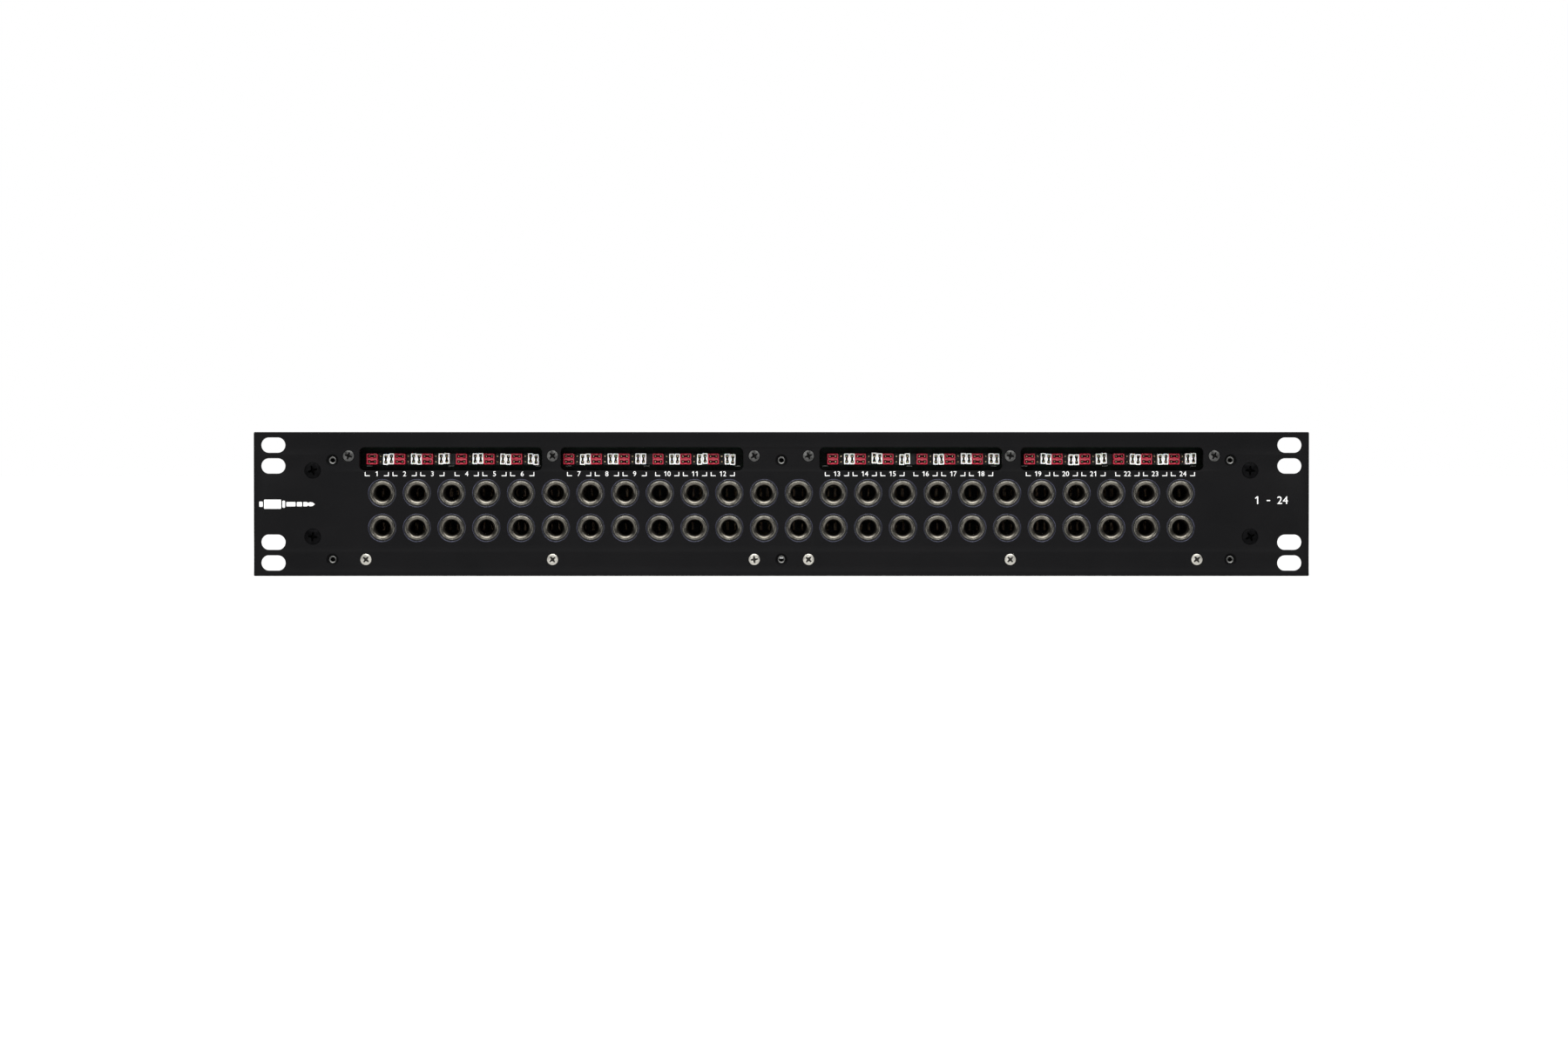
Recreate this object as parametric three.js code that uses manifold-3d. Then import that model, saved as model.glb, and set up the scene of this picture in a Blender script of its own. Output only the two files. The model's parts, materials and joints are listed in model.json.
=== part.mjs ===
// A rack-mount audio patch bay: a 19 inch, one-and-a-half-unit panel with two rows of quarter-inch
// sockets, four windows onto the shunts that program them, and a shallow steel case with
// multi-pin connectors at its back.
//
// X runs along the rack, Y runs back from the panel's face and Z runs up from its lower edge.
// Everything is in millimetres. The last lines move the origin to the middle of the base.
import * as THREE from "three";
import { mergeVertices } from "three/addons/utils/BufferGeometryUtils.js";
import Module from "manifold-3d";

const wasm = await Module();
wasm.setup();

// ---- Driving dimensions ---------------------------------------------------------------------

const INCH = 25.4;
const AIR = 0.3; // kept between pieces that touch on the real object
const OVERRUN = 1; // how far a cut passes its surface, and how far joined pieces overlap
const SIDES = [
  { side: "left", sign: -1 },
  { side: "right", sign: 1 },
];

// Panel: 19 inches wide, one and a half rack units high less the usual clearance.
const PANEL = { width: 19 * INCH, height: 65.9, thickness: 3.2 };
const SLOT = { spread: 465.1, length: 11.4, height: 7.0, radius: 3.4, levels: [5.95, 15.48, 50.4, 59.93] };
const WINDOW = {
  width: 83.5,
  height: 10.6,
  level: 53.6,
  radius: 2.2,
  centres: [-151.2, -59.2, 59.2, 151.2],
};

// Sockets: 24 in each of two rows, five eighths of an inch apart both ways.
const JACK_PITCH = 0.625 * INCH;
const JACKS_PER_HALF = 12;
const ROWS = [
  { row: "lower", level: 22.1 },
  { row: "upper", level: 22.1 + JACK_PITCH },
];
const PANEL_HOLE_RADIUS = 6.2;
const SLEEVE = { radius: 5.5, bore: 3.45, front: 0.15 };

// Flat-head screws. Each hole is a cone down to a straight clearance hole.
const SMALL_HEAD = { radius: 2.75, hole: 1.75, depth: 1.4 };
const LARGE_HEAD = { radius: 3.8, hole: 2.35, depth: 1.9 };
const STRIP_HOLE = { radius: 2.75, hole: 1.35, depth: 1.6 };
const SMALL_SCREW_LENGTH = 9;
const LARGE_SCREW_LENGTH = 11;
const SCREW_BELOW_FACE = 0.15;
const LOWER_SCREW_LEVEL = 7.6;
const UPPER_SCREW_LEVEL = 55.0;
const LOWER_SCREWS_X = [12.4, 104.7, 190.1];
const UPPER_SCREWS_X = [12.4, 104.7, 198.0];
const CASE_SCREW_X = 214.4;
const CASE_SCREW_LEVELS = [18.0, 48.3];
const STRIP_HOLES_X = [-205.4, 0, 205.4];
const STRIP_HOLE_LEVELS = [LOWER_SCREW_LEVEL, 53.0];

// Jack frames: a plate behind each half of the panel that carries 24 socket sleeves.
const FRAME = { inner: 1.2, outer: 202, bottom: 3.6, top: 46.4, thickness: 3.0, tabTop: 58.8 };
const FRAME_FRONT = PANEL.thickness + AIR;
const FRAME_BACK = FRAME_FRONT + FRAME.thickness;
const TAB_WIDTH = 6.8;
const BOSS = { height: 7, back: 13.7 };

// Contact blocks and the spring banks clamped behind them.
const CELL = { width: 14.4, height: 13.6, wall: 0.45, margin: 0.8 };
const BLOCK_BACK = 52;
const SPRING_BAR = { depth: 3, height: 2.4, offset: 5 };
const LEAF = { width: 3.6, thickness: 0.5 };
const TIP_LEAF = { contact: 30, end: 24 };
const RING_LEAF = { contact: 24, end: 18.5 };
const CONTACT_OFFSET = 2.6; // of a resting leaf from the socket's axis
const LEAF_END_OFFSET = 4.0;

// Programming field: pins on a tenth-inch grid, five columns to a channel, in banks of three.
const PIN = 0.1 * INCH;
const CHANNEL_PITCH = 5 * PIN;
const BANK_OFFSET = 20.5;
const FIELD_CENTRES = [-150.9, -60.6, 60.6, 150.9];
const SHUNT = { front: 5.2, back: 11.2, half: 2.4, top: 3.0, bottom: -2.45, pocket: 3.9 };
const STUD = { front: 6.2, width: 3.2, thin: 0.7 };
const SHUNT_LINK = { front: 9.2, back: 10.8, bottom: 2.75, top: 3.3 };
const HEADER = { front: 11.6, back: 13.7, height: 5.2, overhang: 0.9 };

// Circuit boards
const BOARD_THICKNESS = 1.6;
const PROGRAM_BOARD = { front: BOSS.back + AIR, inner: 2, outer: 202, bottom: 46.8, top: 61.2 };
const JACK_BOARD = { front: 56.2, inner: 1, outer: 191, bottom: 12, top: 48 };

// Case of folded sheet
const SHEET = 1.2;
const CASE = { half: 221.5, bottom: 1.6, wallTop: 62, back: 190, flange: 12.8 };
const COVER = { lip: 13.5, top: CASE.wallTop + AIR + SHEET };
const REAR_RETURN = 10;

// Multi-pin connectors at the back, with a ribbon cable from each to the jack boards.
const CONNECTORS_X = [-155, -93, -31, 31, 93, 155];
const CONNECTOR_LEVEL = 33;
const CONNECTOR = {
  flange: [53, 12.5, 1.0],
  housing: [38.8, 10.6],
  housingFront: 178.3,
  shellTop: 19.15,
  shellBottom: 17.8,
  shellHalfHeight: 4.0,
  shellCorner: 1.2,
  shellLength: 5.9,
  postSpread: 23.5,
  postRadius: 2.75,
  postLength: 4.7,
};
const CUTOUT_MARGIN = 0.4;
const RIBBON = { width: 32, thickness: 1.0, steps: 8, reach: 34, sagLevel: 2 };
const SOCKET = { width: 36, depth: 8, height: 6.4, level: 30 };

// Number of flats on round pieces
const HOLE_FLATS = 12;
const SLEEVE_FLATS = 10;
const SCREW_FLATS = 8;
const POST_FLATS = 6;
const CORNER_STEPS = 3;

// ---- Materials ------------------------------------------------------------------------------

const finish = (color, roughness, metalness) =>
  new THREE.MeshStandardMaterial({ color, roughness, metalness });
const BLACK_ANODISED = finish(0x1b1b1d, 0.55, 0.3);
const NICKEL = finish(0xb9b4a8, 0.3, 1.0);
const DULL_ZINC = finish(0x6f6f6c, 0.5, 0.9);
const BLACK_OXIDE = finish(0x0d0d0e, 0.45, 0.6);
const BLACK_STEEL = finish(0x202022, 0.6, 0.4);
const MOULDED_BLACK = finish(0x111112, 0.6, 0);
const SPRING_METAL = finish(0xa79f8c, 0.35, 1.0);
const BOARD_GREEN = finish(0x0c3a1e, 0.5, 0);
const RED_PLASTIC = finish(0xb5122c, 0.4, 0);
const WHITE_PLASTIC = finish(0xf1f0ec, 0.4, 0);
const GREY_RIBBON = finish(0x8b8d90, 0.6, 0);

// ---- Solid helpers --------------------------------------------------------------------------

const at = (x, z) => new THREE.Vector2(x, z);

function solid(geometry) {
  const bare = geometry.clone();
  bare.deleteAttribute("normal");
  bare.deleteAttribute("uv");
  const merged = mergeVertices(bare, 1e-4);
  return new wasm.Manifold(
    new wasm.Mesh({
      numProp: 3,
      vertProperties: merged.attributes.position.array,
      triVerts: new Uint32Array(merged.index.array),
    }),
  );
}

function shaped(base, { add = [], cut = [] }) {
  const joined = add.reduce((sum, geometry) => sum.add(solid(geometry)), solid(base));
  const result = cut.reduce((rest, geometry) => rest.subtract(solid(geometry)), joined);
  const mesh = result.getMesh();
  const geometry = new THREE.BufferGeometry();
  geometry.setAttribute("position", new THREE.BufferAttribute(mesh.vertProperties, 3));
  geometry.setIndex(new THREE.BufferAttribute(mesh.triVerts, 1));
  geometry.computeVertexNormals();
  return geometry;
}

// A box given by its lowest and highest corner.
function block([x0, y0, z0], [x1, y1, z1]) {
  const box = new THREE.BoxGeometry(Math.abs(x1 - x0), y1 - y0, z1 - z0);
  return box.translate((x0 + x1) / 2, (y0 + y1) / 2, (z0 + z1) / 2);
}

// A flat outline in X and Z, made into a plate that runs back from a given depth.
function plate(outline, holes, front, thickness) {
  const shape = new THREE.Shape(outline);
  shape.holes = holes.map((points) => new THREE.Path(points));
  const extruded = new THREE.ExtrudeGeometry(shape, { depth: thickness, bevelEnabled: false });
  return extruded.rotateX(Math.PI / 2).translate(0, front + thickness, 0);
}

// An outline in Y and Z, made into a piece of a given width centred on x.
function section(points, x, width) {
  const extruded = new THREE.ExtrudeGeometry(new THREE.Shape(points), { depth: width, bevelEnabled: false });
  const turn = new THREE.Matrix4().makeBasis(
    new THREE.Vector3(0, 1, 0),
    new THREE.Vector3(0, 0, 1),
    new THREE.Vector3(1, 0, 0),
  );
  return extruded.applyMatrix4(turn).translate(x - width / 2, 0, 0);
}

// A round piece turned about a line parallel to Y. The profile lists radius and depth.
function turned(profile, x, z, flats) {
  const points = profile.map(([radius, depth]) => new THREE.Vector2(radius, depth));
  return new THREE.LatheGeometry(points, flats).translate(x, 0, z);
}

const arc = (x, z, radius, from, to, steps) =>
  Array.from({ length: steps + 1 }, (_, i) => {
    const angle = from + ((to - from) * i) / steps;
    return at(x + radius * Math.cos(angle), z + radius * Math.sin(angle));
  });

const circle = (x, z, radius, flats) => arc(x, z, radius, 0, 2 * Math.PI, flats).slice(0, flats);

const rectangle = (x0, z0, x1, z1) => [at(x0, z0), at(x1, z0), at(x1, z1), at(x0, z1)];

function roundedRectangle(x, z, width, height, radius) {
  const corners = [
    [1, 1],
    [-1, 1],
    [-1, -1],
    [1, -1],
  ];
  return corners.flatMap(([right, up], i) =>
    arc(
      x + right * (width / 2 - radius),
      z + up * (height / 2 - radius),
      radius,
      (i * Math.PI) / 2,
      ((i + 1) * Math.PI) / 2,
      CORNER_STEPS,
    ),
  );
}

// The space that a flat-head screw's cone and shank need, from in front of the face to a depth.
const countersink = (head, x, z, back) =>
  turned(
    [[0, -OVERRUN], [head.radius, -OVERRUN], [head.radius, 0], [head.hole, head.depth],
      [head.hole, back], [0, back]],
    x, z, SCREW_FLATS);

const screw = (head, x, z, length) =>
  turned(
    [[0, SCREW_BELOW_FACE], [head.radius - AIR, SCREW_BELOW_FACE], [head.hole - AIR, head.depth],
      [head.hole - AIR, length], [0, length]],
    x, z, SCREW_FLATS);

const columnX = (column) => (column + 0.5) * JACK_PITCH;
const halfColumns = Array.from({ length: JACKS_PER_HALF }, (_, column) => columnX(column));

// ---- Front panel ----------------------------------------------------------------------------

function frontPanel() {
  const slots = [-1, 1].flatMap((sign) =>
    SLOT.levels.map((level) =>
      roundedRectangle((sign * SLOT.spread) / 2, level, SLOT.length, SLOT.height, SLOT.radius)));
  const windows = WINDOW.centres.map((x) =>
    roundedRectangle(x, WINDOW.level, WINDOW.width, WINDOW.height, WINDOW.radius));
  const sockets = ROWS.flatMap(({ level }) =>
    SIDES.flatMap(({ sign }) =>
      halfColumns.map((x) => circle(sign * x, level, PANEL_HOLE_RADIUS, HOLE_FLATS))));
  const half = PANEL.width / 2;
  const holes = [...slots, ...windows, ...sockets];
  const sheet = plate(rectangle(-half, 0, half, PANEL.height), holes, 0, PANEL.thickness);
  const through = PANEL.thickness + OVERRUN;
  const cones = [-1, 1].flatMap((sign) => [
    ...LOWER_SCREWS_X.map((x) => countersink(SMALL_HEAD, sign * x, LOWER_SCREW_LEVEL, through)),
    ...UPPER_SCREWS_X.map((x) => countersink(SMALL_HEAD, sign * x, UPPER_SCREW_LEVEL, through)),
    ...CASE_SCREW_LEVELS.map((level) => countersink(LARGE_HEAD, sign * CASE_SCREW_X, level, through)),
  ]);
  const stripHoles = STRIP_HOLES_X.flatMap((x) =>
    STRIP_HOLE_LEVELS.map((level) => countersink(STRIP_HOLE, x, level, through)));
  return shaped(sheet, { cut: [...cones, ...stripHoles] });
}

// ---- Jack frame: a plate with the socket sleeves swaged into it, and bosses for the board ---------

function jackFrame(sign) {
  const outline = [
    at(FRAME.inner, FRAME.bottom),
    at(FRAME.outer, FRAME.bottom),
    at(FRAME.outer, FRAME.tabTop),
  ];
  [...UPPER_SCREWS_X].reverse().forEach((x) => {
    const outer = Math.min(x + TAB_WIDTH / 2, FRAME.outer);
    if (outer < FRAME.outer) outline.push(at(outer, FRAME.top), at(outer, FRAME.tabTop));
    outline.push(at(x - TAB_WIDTH / 2, FRAME.tabTop), at(x - TAB_WIDTH / 2, FRAME.top));
  });
  outline.push(at(FRAME.inner, FRAME.top));
  const mirrored = outline.map(({ x, y }) => at(sign * x, y));
  const sheet = plate(mirrored, [], FRAME_FRONT, FRAME.thickness);
  const bosses = UPPER_SCREWS_X.map((x) =>
    block([sign * x - TAB_WIDTH / 2, FRAME_BACK - OVERRUN, UPPER_SCREW_LEVEL - BOSS.height / 2],
      [sign * x + TAB_WIDTH / 2, BOSS.back, UPPER_SCREW_LEVEL + BOSS.height / 2]));
  const sockets = ROWS.flatMap(({ level }) => halfColumns.map((x) => ({ x: sign * x, level })));
  const tube = (radius, front, back) =>
    sockets.map(({ x, level }) =>
      turned([[0, front], [radius, front], [radius, back], [0, back]], x, level, SLEEVE_FLATS));
  const sleeves = tube(SLEEVE.radius, SLEEVE.front, FRAME_BACK - OVERRUN);
  const bores = tube(SLEEVE.bore, -OVERRUN, FRAME_BACK + OVERRUN);
  const screwHoles = [
    ...LOWER_SCREWS_X.map((x) => [x, LOWER_SCREW_LEVEL]),
    ...UPPER_SCREWS_X.map((x) => [x, UPPER_SCREW_LEVEL]),
  ].map(([x, level]) => countersink(SMALL_HEAD, sign * x, level, SMALL_SCREW_LENGTH + OVERRUN));
  return shaped(sheet, { add: [...bosses, ...sleeves], cut: [...bores, ...screwHoles] });
}

// ---- Contact block: an open moulded cell behind each socket --------------------------------------

function contactBlock(sign) {
  const [lower, upper] = ROWS.map(({ level }) => level);
  const front = FRAME_BACK + AIR;
  const halfWidth = CELL.width / 2;
  const halfHeight = CELL.height / 2;
  const cells = ROWS.flatMap(({ level }) =>
    halfColumns.map((x) =>
      block([sign * x - halfWidth, front - OVERRUN, level - halfHeight],
        [sign * x + halfWidth, BLOCK_BACK + OVERRUN, level + halfHeight])));
  const reach = halfWidth + CELL.wall;
  const ends = [halfColumns[0] - reach, halfColumns[JACKS_PER_HALF - 1] + reach];
  const body = block([sign * ends[0], front, lower - halfHeight - CELL.margin],
    [sign * ends[1], BLOCK_BACK, upper + halfHeight + CELL.margin]);
  return shaped(body, { cut: cells });
}

// ---- Spring bank: twelve contact leaves in one insulated clamp bar -------------------------------
// Tip leaves lie above the sockets' axes and ring leaves below, so up is +1 or -1.

function springBank(sign, level, up, leaf) {
  const front = BLOCK_BACK + AIR;
  const middle = level + up * SPRING_BAR.offset;
  const bar = block(
    [sign * (halfColumns[0] - LEAF.width), front, middle - SPRING_BAR.height / 2],
    [sign * (halfColumns[JACKS_PER_HALF - 1] + LEAF.width), front + SPRING_BAR.depth,
      middle + SPRING_BAR.height / 2]);
  const line = [
    at(front + SPRING_BAR.depth / 2, SPRING_BAR.offset),
    at(leaf.contact, CONTACT_OFFSET),
    at(leaf.end, LEAF_END_OFFSET),
  ];
  const half = LEAF.thickness / 2;
  const near = line.map(({ x, y }) => at(x, y - half));
  const far = line.map(({ x, y }) => at(x, y + half)).reverse();
  const strip = [...near, ...far].map(({ x, y }) => at(x, level + up * y));
  const leaves = halfColumns.map((x) => section(strip, sign * x, LEAF.width));
  return shaped(bar, { add: leaves });
}

// ---- Programming field -----------------------------------------------------------------------

// The middle column of pins of each of a window's six channels.
function channelCentres(field) {
  return [-BANK_OFFSET, BANK_OFFSET].flatMap((bank) =>
    [-1, 0, 1].map((channel) => field + bank + channel * CHANNEL_PITCH));
}

const SHUNT_SHIFT = 1.5 * PIN; // from a channel's middle column to the middle of either shunt block

function pinHeader(field) {
  const half = BANK_OFFSET + 1.5 * CHANNEL_PITCH + HEADER.overhang - PIN / 2;
  const base = block([field - half, HEADER.front, WINDOW.level - HEADER.height / 2],
    [field + half, HEADER.back, WINDOW.level + HEADER.height / 2]);
  const stud = (x, width) =>
    block([x - width / 2, STUD.front, WINDOW.level - STUD.width / 2],
      [x + width / 2, HEADER.front + OVERRUN, WINDOW.level + STUD.width / 2]);
  const studs = channelCentres(field).flatMap((x) => [
    stud(x - SHUNT_SHIFT, STUD.width),
    stud(x, STUD.thin),
    stud(x + SHUNT_SHIFT, STUD.width),
  ]);
  return shaped(base, { add: studs });
}

// The shunts of one colour in a window, joined by a thin link above (+1) or below (-1) them.
function shuntBank(field, up) {
  const centres = channelCentres(field).map((x) => x - up * SHUNT_SHIFT);
  const levels = (...heights) =>
    heights.map((height) => WINDOW.level + up * height).sort((a, b) => a - b);
  const [bodyLow, bodyHigh] = levels(SHUNT.bottom, SHUNT.top);
  const [linkLow, linkHigh] = levels(SHUNT_LINK.bottom, SHUNT_LINK.top);
  const bodies = centres.map((x) =>
    block([x - SHUNT.half, SHUNT.front, bodyLow], [x + SHUNT.half, SHUNT.back, bodyHigh]));
  const link = block([centres[0] - SHUNT.half, SHUNT_LINK.front, linkLow],
    [centres[centres.length - 1] + SHUNT.half, SHUNT_LINK.back, linkHigh]);
  const pocket = SHUNT.pocket / 2;
  const pockets = centres.map((x) =>
    block([x - pocket, SHUNT.front - OVERRUN, WINDOW.level - pocket],
      [x + pocket, SHUNT.back + OVERRUN, WINDOW.level + pocket]));
  return shaped(link, { add: bodies, cut: pockets });
}

// ---- Boards ------------------------------------------------------------------------------------

const board = (sign, size) =>
  block([Math.min(sign * size.inner, sign * size.outer), size.front, size.bottom],
    [Math.max(sign * size.inner, sign * size.outer), size.front + BOARD_THICKNESS, size.top]);

// ---- Case ----------------------------------------------------------------------------------------

function chassisTray() {
  const floor = block([-CASE.half, FRAME_FRONT, CASE.bottom], [CASE.half, CASE.back, CASE.bottom + SHEET]);
  const walls = [-1, 1].map((sign) =>
    block([sign * (CASE.half - SHEET / 2) - SHEET / 2, FRAME_FRONT, CASE.bottom],
      [sign * (CASE.half - SHEET / 2) + SHEET / 2, CASE.back, CASE.wallTop]));
  const flanges = [-1, 1].map((sign) => {
    const middle = sign * (CASE.half - CASE.flange / 2);
    return block([middle - CASE.flange / 2, FRAME_FRONT, CASE.bottom],
      [middle + CASE.flange / 2, FRAME_FRONT + SHEET, CASE.wallTop]);
  });
  const holes = [-1, 1].flatMap((sign) =>
    CASE_SCREW_LEVELS.map((level) => countersink(LARGE_HEAD, sign * CASE_SCREW_X, level, LARGE_SCREW_LENGTH)));
  return shaped(floor, { add: [...walls, ...flanges], cut: holes });
}

function topCover() {
  const outer = CASE.half + AIR + SHEET;
  const top = block([-outer, FRAME_FRONT + AIR, COVER.top - SHEET], [outer, CASE.back, COVER.top]);
  const lips = [-1, 1].map((sign) =>
    block([sign * (outer - SHEET / 2) - SHEET / 2, FRAME_FRONT + AIR, COVER.top - COVER.lip],
      [sign * (outer - SHEET / 2) + SHEET / 2, CASE.back, COVER.top]));
  return shaped(top, { add: lips });
}

function rearPanel() {
  const half = CASE.half - SHEET - AIR;
  const bottom = CASE.bottom + SHEET + AIR;
  const [width, height] = CONNECTOR.housing.map((size) => size / 2 + CUTOUT_MARGIN);
  const cutouts = CONNECTORS_X.map((x) =>
    block([x - width, CASE.back - SHEET - OVERRUN, CONNECTOR_LEVEL - height],
      [x + width, CASE.back + OVERRUN, CONNECTOR_LEVEL + height]));
  const sheet = block([-half, CASE.back - SHEET, bottom], [half, CASE.back, CASE.wallTop]);
  const returns = [-1, 1].map((sign) =>
    block([sign * (half - SHEET / 2) - SHEET / 2, CASE.back - SHEET - REAR_RETURN, bottom],
      [sign * (half - SHEET / 2) + SHEET / 2, CASE.back, CASE.wallTop]));
  return shaped(sheet, { add: returns, cut: cutouts });
}

// ---- Rear connectors and ribbon cables -----------------------------------------------------------

function rearConnector(x) {
  const [flangeWidth, flangeHeight, flangeThickness] = CONNECTOR.flange;
  const face = CASE.back + AIR;
  const flange = block([x - flangeWidth / 2, face, CONNECTOR_LEVEL - flangeHeight / 2],
    [x + flangeWidth / 2, face + flangeThickness, CONNECTOR_LEVEL + flangeHeight / 2]);
  const [width, height] = CONNECTOR.housing;
  const housing = block([x - width / 2, CONNECTOR.housingFront, CONNECTOR_LEVEL - height / 2],
    [x + width / 2, face + flangeThickness / 2, CONNECTOR_LEVEL + height / 2]);
  const { shellTop: top, shellBottom: bottom, shellHalfHeight: rise, shellCorner: corner } = CONNECTOR;
  const halfOutline = [
    at(bottom - corner, -rise),
    at(bottom, corner - rise),
    at(top, rise - corner),
    at(top - corner, rise),
  ];
  const outline = [...halfOutline, ...halfOutline.map((p) => at(-p.x, p.y)).reverse()];
  const placed = outline.map((p) => at(x + p.x, CONNECTOR_LEVEL + p.y));
  const middle = face + flangeThickness / 2;
  const shell = plate(placed, [], middle, CONNECTOR.shellLength + flangeThickness / 2);
  const posts = [-1, 1].map((side) =>
    plate(
      circle(x + side * CONNECTOR.postSpread, CONNECTOR_LEVEL, CONNECTOR.postRadius, POST_FLATS),
      [], middle, CONNECTOR.postLength + flangeThickness / 2));
  return shaped(flange, { add: [housing, shell, ...posts] });
}

function ribbonCable(x) {
  const start = JACK_BOARD.front + BOARD_THICKNESS + AIR;
  const socket = block([x - SOCKET.width / 2, start, SOCKET.level - SOCKET.height / 2],
    [x + SOCKET.width / 2, start + SOCKET.depth, SOCKET.level + SOCKET.height / 2]);
  const from = at(start + SOCKET.depth - OVERRUN, SOCKET.level);
  const to = at(CONNECTOR.housingFront - RIBBON.thickness, CONNECTOR_LEVEL);
  const pulls = [from.x + RIBBON.reach, to.x - RIBBON.reach].map((y) => at(y, RIBBON.sagLevel));
  const route = new THREE.CubicBezierCurve(from, pulls[0], pulls[1], to);
  const points = route.getPoints(RIBBON.steps);
  const side = (offset) =>
    points.map((point, i) => {
      const along = route.getTangent(i / RIBBON.steps);
      return at(point.x - along.y * offset, point.y + along.x * offset);
    });
  const outline = [...side(RIBBON.thickness / 2), ...side(-RIBBON.thickness / 2).reverse()];
  return shaped(socket, { add: [section(outline, x, RIBBON.width)] });
}

// ---- Assembly --------------------------------------------------------------------------------------

const patchBay = new THREE.Group();

function part(name, geometry, material) {
  const mesh = new THREE.Mesh(geometry, material);
  mesh.name = name;
  patchBay.add(mesh);
}

part("front_panel", frontPanel(), BLACK_ANODISED);
part("chassis_tray", chassisTray(), BLACK_STEEL);
part("top_cover", topCover(), BLACK_STEEL);
part("rear_panel", rearPanel(), BLACK_STEEL);

for (const { side, sign } of SIDES) {
  part(`jack_frame_${side}`, jackFrame(sign), NICKEL);
  part(`contact_block_${side}`, contactBlock(sign), MOULDED_BLACK);
  part(`jack_board_${side}`, board(sign, JACK_BOARD), BOARD_GREEN);
  part(`programming_board_${side}`, board(sign, PROGRAM_BOARD), BOARD_GREEN);
  for (const { row, level } of ROWS) {
    part(`tip_springs_${row}_${side}`, springBank(sign, level, 1, TIP_LEAF), SPRING_METAL);
    part(`ring_springs_${row}_${side}`, springBank(sign, level, -1, RING_LEAF), SPRING_METAL);
  }
}

FIELD_CENTRES.forEach((field, i) => {
  part(`pin_header_${i + 1}`, pinHeader(field), MOULDED_BLACK);
  part(`red_shunts_${i + 1}`, shuntBank(field, 1), RED_PLASTIC);
  part(`white_shunts_${i + 1}`, shuntBank(field, -1), WHITE_PLASTIC);
});

CONNECTORS_X.forEach((x, i) => {
  part(`rear_connector_${i + 1}`, rearConnector(x), NICKEL);
  part(`ribbon_cable_${i + 1}`, ribbonCable(x), GREY_RIBBON);
});

const bothSides = (distances) => [...distances.map((x) => -x).reverse(), ...distances];

bothSides([CASE_SCREW_X]).forEach((x, i) =>
  CASE_SCREW_LEVELS.forEach((level, j) =>
    part(`case_screw_${2 * i + j + 1}`, screw(LARGE_HEAD, x, level, LARGE_SCREW_LENGTH), BLACK_OXIDE)));
bothSides(LOWER_SCREWS_X).forEach((x, i) =>
  part(`frame_screw_lower_${i + 1}`, screw(SMALL_HEAD, x, LOWER_SCREW_LEVEL, SMALL_SCREW_LENGTH), NICKEL));
bothSides(UPPER_SCREWS_X).forEach((x, i) =>
  part(`frame_screw_upper_${i + 1}`, screw(SMALL_HEAD, x, UPPER_SCREW_LEVEL, SMALL_SCREW_LENGTH), DULL_ZINC));

// The origin is the middle of the base: halfway from the panel's face to the connectors' mouths.
const overallDepth = CASE.back + AIR + CONNECTOR.flange[2] + CONNECTOR.shellLength;
patchBay.position.y = -overallDepth / 2;

export default patchBay;
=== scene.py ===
"""The audio patch bay's finished look: every visible piece, its materials, and a plain studio."""
import json
import math
import random

import bmesh
import bpy
from mathutils import Matrix, Vector
from mathutils.geometry import tessellate_polygon

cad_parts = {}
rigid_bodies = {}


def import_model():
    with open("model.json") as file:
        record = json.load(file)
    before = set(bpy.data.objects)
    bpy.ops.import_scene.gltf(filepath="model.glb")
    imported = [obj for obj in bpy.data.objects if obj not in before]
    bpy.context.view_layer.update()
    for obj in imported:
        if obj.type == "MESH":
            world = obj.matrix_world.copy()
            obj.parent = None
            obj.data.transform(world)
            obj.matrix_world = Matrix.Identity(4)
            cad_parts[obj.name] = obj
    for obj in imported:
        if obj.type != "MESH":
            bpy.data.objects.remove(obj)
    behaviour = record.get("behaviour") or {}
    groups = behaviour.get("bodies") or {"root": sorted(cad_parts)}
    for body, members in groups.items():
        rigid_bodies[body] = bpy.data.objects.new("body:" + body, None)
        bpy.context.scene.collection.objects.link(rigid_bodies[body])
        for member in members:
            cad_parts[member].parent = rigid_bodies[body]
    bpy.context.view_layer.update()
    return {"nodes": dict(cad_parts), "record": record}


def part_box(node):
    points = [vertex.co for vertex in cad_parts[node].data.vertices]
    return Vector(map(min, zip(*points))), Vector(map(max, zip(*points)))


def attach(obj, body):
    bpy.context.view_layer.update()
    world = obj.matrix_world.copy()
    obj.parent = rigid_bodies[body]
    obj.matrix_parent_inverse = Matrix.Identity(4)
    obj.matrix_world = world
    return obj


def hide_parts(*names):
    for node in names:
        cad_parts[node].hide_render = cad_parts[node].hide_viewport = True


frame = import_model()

MM = 0.001
SCENE = bpy.context.scene

# ---- Places -----------------------------------------------------------------------------------
# They are in millimetres, and Y is counted from the panel's face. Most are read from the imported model.

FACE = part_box("front_panel")[0].y  # in metres


def box_mm(node):
    """A CAD node's lowest and highest corner."""
    return [[c.x / MM, (c.y - FACE) / MM, c.z / MM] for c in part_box(node)]


PANEL_LOW, PANEL_HIGH = box_mm("front_panel")
OPENINGS = {o["name"]: o["box_m"] for o in frame["record"]["physics"]["openings"]}


def opening_centre(name):
    """The X and Z of a stated opening's middle."""
    low, high = OPENINGS[name]
    return (low[0] + high[0]) / 2 / MM, (low[2] + high[2]) / 2 / MM


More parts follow.
